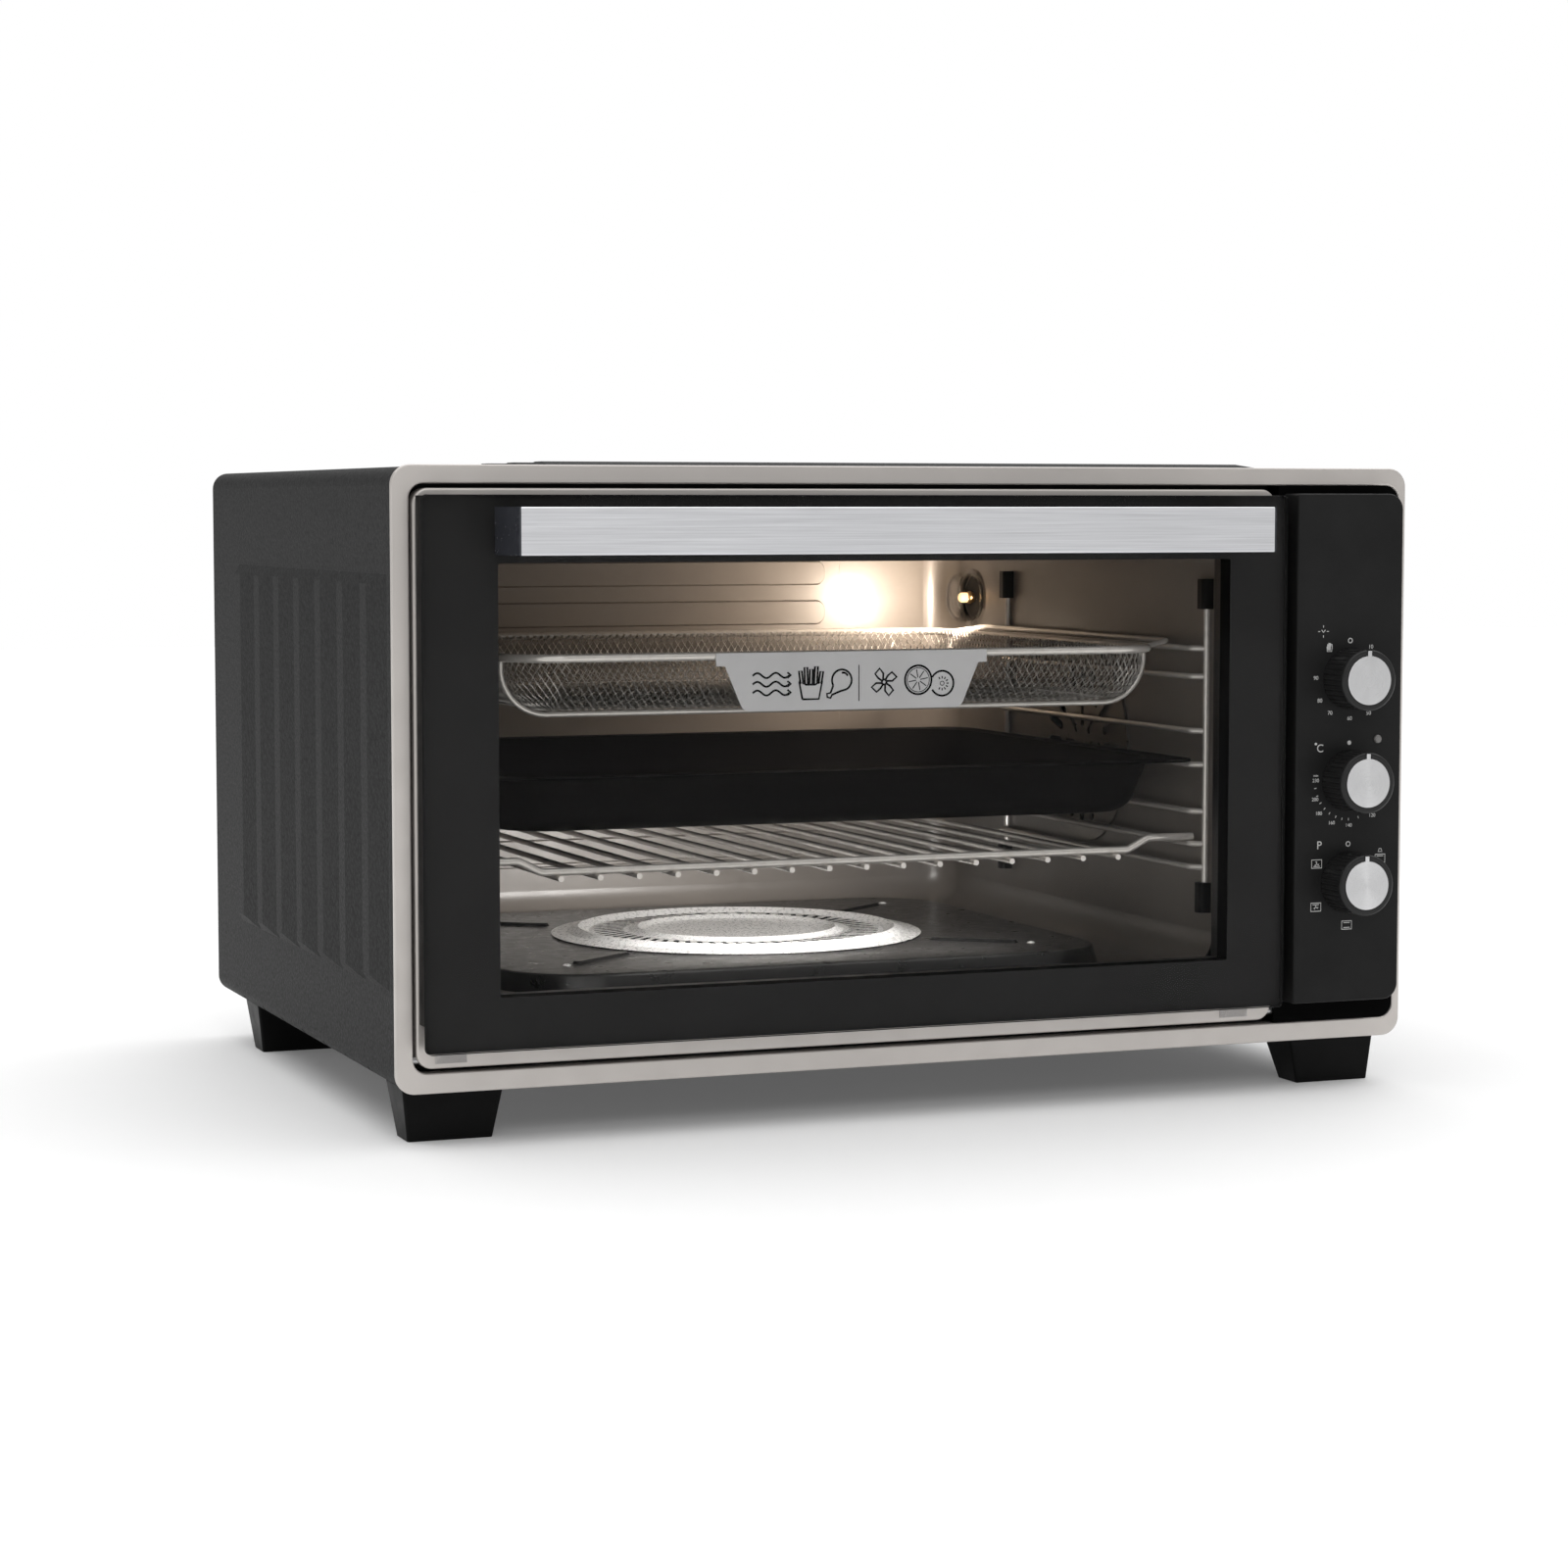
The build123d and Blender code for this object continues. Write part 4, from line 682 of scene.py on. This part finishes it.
def citrus_slice(x, z):
    mark(arc(x, z, 7.4, steps=32), True)
    mark(arc(x, z, 6.2, steps=32), True, FINE)
    for turn in range(8):
        angle = 45 * turn + 10
        mark([polar(x, z, 1.2, angle), polar(x, z, 5.4, angle)], width=THIN)


def seeded_slice(x, z):
    mark(arc(x, z, 6.4, -150, 150, 28))
    for angle in range(0, 360, 30):
        if math.cos(math.radians(angle)) > -0.7:
            mark([polar(x, z, 2.4, angle), polar(x, z, 3.7, angle)], width=SEED)
    mark(arc(x, z, 1.1, steps=12), True, FINE)


hot_air()
box_of_fries()
drumstick()
mark([(3.0, -9.5), (3.0, 9.0)], width=THIN)
fan_sign(17, 0)
citrus_slice(36, 0.8)
seeded_slice(49.4, -1.2)
ink = coated("badge_ink", (0.005, 0.005, 0.006), 0.6, grain=3000.0, depth=0.000006, cloud=200.0,
             Specular_IOR_Level=0.05)
piece_from("badge_pictograms", badge, "basket", ink.material)


# ---------------------------------------------------------------- control panel marks
# all in millimetres from the knob's middle
panel_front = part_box("control_panel")[0].y
PRINT_Y = (panel_front - 0.07 * MM, panel_front + 0.02 * MM)
print_look = coated("panel_print", (0.56, 0.56, 0.55), 0.5, grain=3000.0, depth=0.000006, cloud=300.0,
                    vary=0.1)
# a letter's size over its height
LETTER_SCALE = 1.42
DOT_R = 1.2
# the small ovens: half sizes of the outline and of its heating bars, and the fan's bent fins
OVEN_X, OVEN_Z = 3, 2.2
BAR_X, BAR_Z = 1.9, 1.3
FIN_R, FIN_SWEEP = 1.3, 34.3775


class Dial:
    """The printed marks round one knob."""

    def __init__(self, knob):
        self.knob = knob
        low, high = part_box(f"{knob}_spindle")
        self.x, self.z = (low.x + high.x) / 2, (low.z + high.z) / 2
        self.bm = bmesh.new()

    def at(self, points):
        return [(self.x + x * MM, self.z + z * MM) for x, z in points]

    def line(self, points, width=0.45, closed=False):
        stroke(self.bm, self.at(points), width * MM, *PRINT_Y, closed)

    def dot(self, points):
        slab(self.bm, self.at(points), *PRINT_Y)

    def text(self, words, x, z, height):
        curve = bpy.data.curves.new("mark", "FONT")
        curve.body, curve.size = words, height * MM * LETTER_SCALE
        curve.align_x, curve.align_y = "CENTER", "CENTER"
        curve.extrude = (PRINT_Y[1] - PRINT_Y[0]) / 2
        thing = bpy.data.objects.new("mark", curve)
        bpy.context.scene.collection.objects.link(thing)
        shape = bpy.data.meshes.new_from_object(thing.evaluated_get(bpy.context.evaluated_depsgraph_get()))
        place = Matrix.Translation((self.x + x * MM, sum(PRINT_Y) / 2, self.z + z * MM))
        shape.transform(place @ Matrix.Rotation(math.pi / 2, 4, "X"))
        self.bm.from_mesh(shape)
        bpy.data.objects.remove(thing)
        bpy.data.curves.remove(curve)
        bpy.data.meshes.remove(shape)

    def oven_sign(self, x, z, kind):
        """A small oven outline with a sign for what heats it."""
        self.line([(x - OVEN_X, z - OVEN_Z), (x + OVEN_X, z - OVEN_Z), (x + OVEN_X, z + OVEN_Z),
                   (x - OVEN_X, z + OVEN_Z)], closed=True)
        if "top" in kind:
            self.line([(x - BAR_X, z + BAR_Z), (x + BAR_X, z + BAR_Z)], 0.4)
        if "bottom" in kind:
            self.line([(x - BAR_X, z - BAR_Z), (x + BAR_X, z - BAR_Z)], 0.4)
        if "fan" in kind:
            for angle in (90, 210, 330):
                self.line([(x, z), polar(x, z, FIN_R, angle), polar(x, z, FIN_R, angle + FIN_SWEEP)], 0.4)

    def make_piece(self):
        piece_from(f"{self.knob}_marks", self.bm, "oven", print_look.material)


def timer_marks():
    dial = Dial("timer")
    dial.line(arc(-0.1, 20.3, DOT_R, steps=20), 0.5, True)
    for minutes, x, z in ((10, 12.4, 16.8), (20, 19.8, 6.2), (30, 20.2, -4.0), (40, 17.6, -11.6),
                          (50, 11.5, -18.4), (60, 0.0, -21.0), (70, -11.9, -17.9), (80, -18.1, -11.3),
                          (90, -20.6, 0.7)):
        dial.text(str(minutes), x, z, 2.1)
    # the sign for staying on: a raised hand
    hand_x, hand_z = -12.7, 16.9
    palm = ((-1.5, 0.4), (-1.3, -2.2), (1.3, -2.2), (1.6, 0.2), (1.5, 1.6), (0.9, 1.7), (0.8, 0.4))
    dial.line([(hand_x + x, hand_z + z) for x, z in palm], 0.4)
    for x, top in ((-1.0, 1.6), (-0.3, 2.3), (0.4, 2.2)):
        dial.line([(hand_x + x, hand_z - 1.6), (hand_x + x, hand_z + top)], 0.62)
    # four rays round an arrow that points down
    x, z = -16.4, 25.3
    dial.line([(x - 1.1, z + 0.8), (x, z - 0.5), (x + 1.1, z + 0.8)], 0.4)
    for angle in range(0, 360, 90):
        dial.line([polar(x, z, 2.0, angle), polar(x, z, 3.2, angle)], 0.35)
    dial.make_piece()


def thermostat_marks():
    dial = Dial("thermostat")
    dial.dot(arc(0, 20.2, 1.15, steps=20))
    dial.text("C", -17.6, 17.4, 4.2)
    dial.dot(arc(-20.2, 20.0, 0.7, steps=14))
    for degrees, x, z in ((230, -20.0, 0.5), (200, -20.3, -9.5), (180, -18.0, -17.0), (160, -10.2, -22.2),
                          (140, 0.2, -23.8), (120, 14.4, -18.9), (90, 20.6, -5.2), (60, 19.4, 7.6)):
        dial.text(str(degrees), x, z, 1.9)
    dial.text("max", -20.0, 3.2, 1.2)
    # ticks, by their angle clockwise from the top
    for turn in (163, 180, 191, 202, 214, 225, 236, 248, 260):
        dial.line([polar(0, 0, 19.9, 90 - turn), polar(0, 0, 21.2, 90 - turn)], 0.35)
    dial.make_piece()


def selector_marks():
    dial = Dial("selector")
    dial.text("P", -17.5, 20.0, 4.3)
    dial.line(arc(0, 20.4, DOT_R, steps=20), 0.5, True)
    for x, z, kind in ((-18.9, 10.3, "fan bottom"), (-19.1, -12.7, "fan top"), (-0.3, -23.0, "top bottom"),
                       (19.0, -11.5, "bottom"), (19.6, 12.0, "top")):
        dial.oven_sign(x, z, kind)
    # the lamp's sign above the last oven
    dial.line([(18.4, 15.6), (20.8, 15.6), (20.2, 17.2), (19.0, 17.2)], 0.35, True)
    dial.make_piece()


timer_marks()
thermostat_marks()
selector_marks()


# ---------------------------------------------------------------- lamp
bulb_low, bulb_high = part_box("lamp_bulb")
lamp_y, lamp_z = (bulb_low.y + bulb_high.y) / 2, (bulb_low.z + bulb_high.z) / 2


def lamp_collar():
    """A turned brass sleeve round the lamp: (x from the wall, radius) in millimetres."""
    profile = ((1.0, 3.2), (-2.2, 3.2), (-2.6, 3.9), (-3.6, 3.9), (-4.0, 3.3), (-5.2, 3.25),
               (-5.2, 3.05), (1.0, 3.05), (1.0, 3.2))
    brass = drawn("lamp_brass", (0.62, 0.42, 0.2), 0.3, (900, 200, 200))
    wall_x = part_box("lamp_lens")[1].x
    bm = bmesh.new()
    join_rings(bm, [[bm.verts.new((wall_x + x * MM, y, z)) for y, z in
                     arc(lamp_y, lamp_z, radius * MM, steps=28)] for x, radius in profile])
    piece_from("lamp_collar", bm, "oven", brass.material, True)


lamp_collar()


# ---------------------------------------------------------------- fixings
# a screw head's rings, as (height, radius) in millimetres, and its cross recess
SCREW_RINGS = ((0.0, 3.4), (0.7, 3.4), (1.5, 2.8), (1.9, 1.9))
SCREW_STEPS = 24
CROSS_ARM, CROSS_WAIST, CROSS_TAPER, CROSS_FLOOR = 1.5, 0.55, 0.7, 0.9
SCREW_IN, SCREW_SUNK = 16 * MM, 0.02 * MM
screw_look = drawn("screw_steel", (0.42, 0.42, 0.43), 0.35, (400, 400, 400), vary=0.2)


def rear_screw(name, x, z, y):
    """A cross-head screw on the rear cover, facing +Y."""
    bm = bmesh.new()

    def ring(height, radii):
        spots = [polar(x, z, radius * MM, 360 * k / SCREW_STEPS) for k, radius in enumerate(radii)]
        return [bm.verts.new((px, y + height * MM, pz)) for px, pz in spots]

    cross = [CROSS_ARM if k % 6 in (0, 1, 5) else CROSS_WAIST for k in range(SCREW_STEPS)]
    rings = [ring(height, [radius] * SCREW_STEPS) for height, radius in SCREW_RINGS]
    rings.append(ring(SCREW_RINGS[-1][0], cross))
    rings.append(ring(CROSS_FLOOR, [CROSS_TAPER * radius for radius in cross]))
    join_rings(bm, rings)
    bm.faces.new(rings[-1])
    bm.faces.new(rings[0])
    piece_from(name, bm, "oven", screw_look.material)


def cover_screws():
    low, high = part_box("rear_cover")
    places = [(x, z) for z in (low.z + SCREW_IN, (low.z + high.z) / 2, high.z - SCREW_IN)
              for x in (low.x + SCREW_IN, high.x - SCREW_IN)]
    for number, (x, z) in enumerate(places, 1):
        rear_screw(f"cover_screw_{number}", x, z, high.y - SCREW_SUNK)


RIVET_ANGLES = (38, 142, 218, 322)
RIVET_REACH, RIVET_R, RIVET_SUNK = 168 * MM, 2.3 * MM, 0.1 * MM


def floor_rivets():
    """Domed rivets at the outer ends of the floor plate's beads."""
    low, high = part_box("diffuser_disc")
    bm = bmesh.new()
    for angle in RIVET_ANGLES:
        x, y = polar((low.x + high.x) / 2, (low.y + high.y) / 2, RIVET_REACH, angle)
        shape = bmesh.ops.create_uvsphere(bm, u_segments=18, v_segments=9, radius=RIVET_R)
        for v in shape["verts"]:
            v.co = Vector((x + v.co.x, y + v.co.y, low.z + max(v.co.z, -RIVET_SUNK) * 0.5))
    # the disc's steel brings its painted shade onto the rivets' steep sides
    piece_from("floor_rivets", bm, "oven", finishes["disc_steel"].material, True)


cover_screws()
floor_rivets()


# ---------------------------------------------------------------- studio
FLOOR_HALF, FLOOR_GLOW = 6.0, 0.1
WORLD_SEEN, WORLD_LIGHT = 1.0, 0.4
SUN_POWER, SUN_ANGLE, SUN_FROM = 2.6, 100, (0.12, 0.18, 0.95)
# the oven lamp's glow, which starts at these distances from the left end of the bulb
GLOW_POWER, GLOW_COLOUR, GLOW_RADIUS = 1.6, (1.0, 0.83, 0.67), 12 * MM
GLOW_LEFT, GLOW_FRONT, GLOW_DOWN = 16 * MM, 62 * MM, 4 * MM
GLOW_CONE, GLOW_BLEND, GLOW_FROM = 150, 0.8, (0.62, -0.78, 0.08)
# the soft light inside the window: its size, its place in the cavity and how far down it looks
FILL_POWER, FILL_COLOUR, FILL_SPREAD = 0.3, (1, 0.98, 0.96), 80
FILL_W, FILL_H = 220 * MM, 24 * MM
FILL_UP, FILL_BACK, FILL_AIM_DOWN = 46 * MM, 6 * MM, 20 * MM


def softbox(name, spot, target, width, height, power, colour=(1, 1, 1)):
    data = bpy.data.lights.new(name, "AREA")
    data.shape, data.size, data.size_y = "RECTANGLE", width, height
    data.energy, data.color = power, colour
    light = bpy.data.objects.new(name, data)
    light.location = spot
    light.rotation_euler = (Vector(target) - Vector(spot)).to_track_quat("-Z", "Y").to_euler()
    bpy.context.scene.collection.objects.link(light)
    return light


def studio_floor():
    half = FLOOR_HALF
    bm = bmesh.new()
    for x, y in ((-half, -half), (half, -half), (half, half), (-half, half)):
        bm.verts.new((x, y, 0))
    bm.faces.new(bm.verts)
    mesh = bpy.data.meshes.new("floor")
    bm.to_mesh(mesh)
    bm.free()
    floor = bpy.data.objects.new("floor", mesh)
    look = coated("studio_floor", grey(0.88), 0.6, grain=200.0, depth=0.0, vary=0.004, **DULL)
    look.glow(grey(1.0), FLOOR_GLOW)
    mesh.materials.append(look.material)
    bpy.context.scene.collection.objects.link(floor)


def studio_world():
    """White where the camera sees it, dimmer where it lights the oven."""
    world = bpy.data.worlds.new("studio")
    bpy.context.scene.world = world
    world.use_nodes = True
    tree = world.node_tree
    tree.nodes.clear()
    out = tree.nodes.new("ShaderNodeOutputWorld")
    path = tree.nodes.new("ShaderNodeLightPath")
    mix = tree.nodes.new("ShaderNodeMixShader")
    tree.links.new(path.outputs["Is Camera Ray"], mix.inputs[0])
    for socket, strength in ((1, WORLD_LIGHT), (2, WORLD_SEEN)):
        sky = tree.nodes.new("ShaderNodeBackground")
        sky.inputs["Color"].default_value = (1, 1, 1, 1)
        sky.inputs["Strength"].default_value = strength
        tree.links.new(sky.outputs[0], mix.inputs[socket])
    tree.links.new(mix.outputs[0], out.inputs["Surface"])


def studio_lights():
    data = bpy.data.lights.new("studio_sky", "SUN")
    data.energy, data.angle = SUN_POWER, math.radians(SUN_ANGLE)
    sun = bpy.data.objects.new("studio_sky", data)
    sun.rotation_euler = Vector(SUN_FROM).to_track_quat("Z", "Y").to_euler()
    bpy.context.scene.collection.objects.link(sun)
    softbox("handle_light", spot=(-0.6, -2.6, 1.6), target=(0, -0.2, 0.25), width=2.0, height=0.8,
            power=11)


def lamp_light():
    """The oven lamp's glow on the back wall."""
    data = bpy.data.lights.new("lamp_glow", "SPOT")
    data.energy, data.color, data.shadow_soft_size = GLOW_POWER, GLOW_COLOUR, GLOW_RADIUS
    data.spot_size, data.spot_blend = math.radians(GLOW_CONE), GLOW_BLEND
    light = bpy.data.objects.new("lamp_glow", data)
    light.location = (bulb_low.x - GLOW_LEFT, lamp_y - GLOW_FRONT, lamp_z - GLOW_DOWN)
    light.rotation_euler = Vector(GLOW_FROM).to_track_quat("Z", "Y").to_euler()
    bpy.context.scene.collection.objects.link(light)


def cavity_light():
    """Soft light low in the cavity, from the window towards the back."""
    low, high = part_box("cavity_tub")
    x = (low.x + high.x) / 2
    light = softbox("cavity_fill", (x, low.y + FILL_BACK, low.z + FILL_UP),
                    (x, high.y, low.z - FILL_AIM_DOWN), FILL_W, FILL_H, FILL_POWER, FILL_COLOUR)
    light.visible_camera = False
    light.data.spread = math.radians(FILL_SPREAD)


studio_floor()
studio_world()
studio_lights()
lamp_light()
cavity_light()

settings = bpy.context.scene.view_settings
settings.view_transform, settings.look = "Standard", "None"
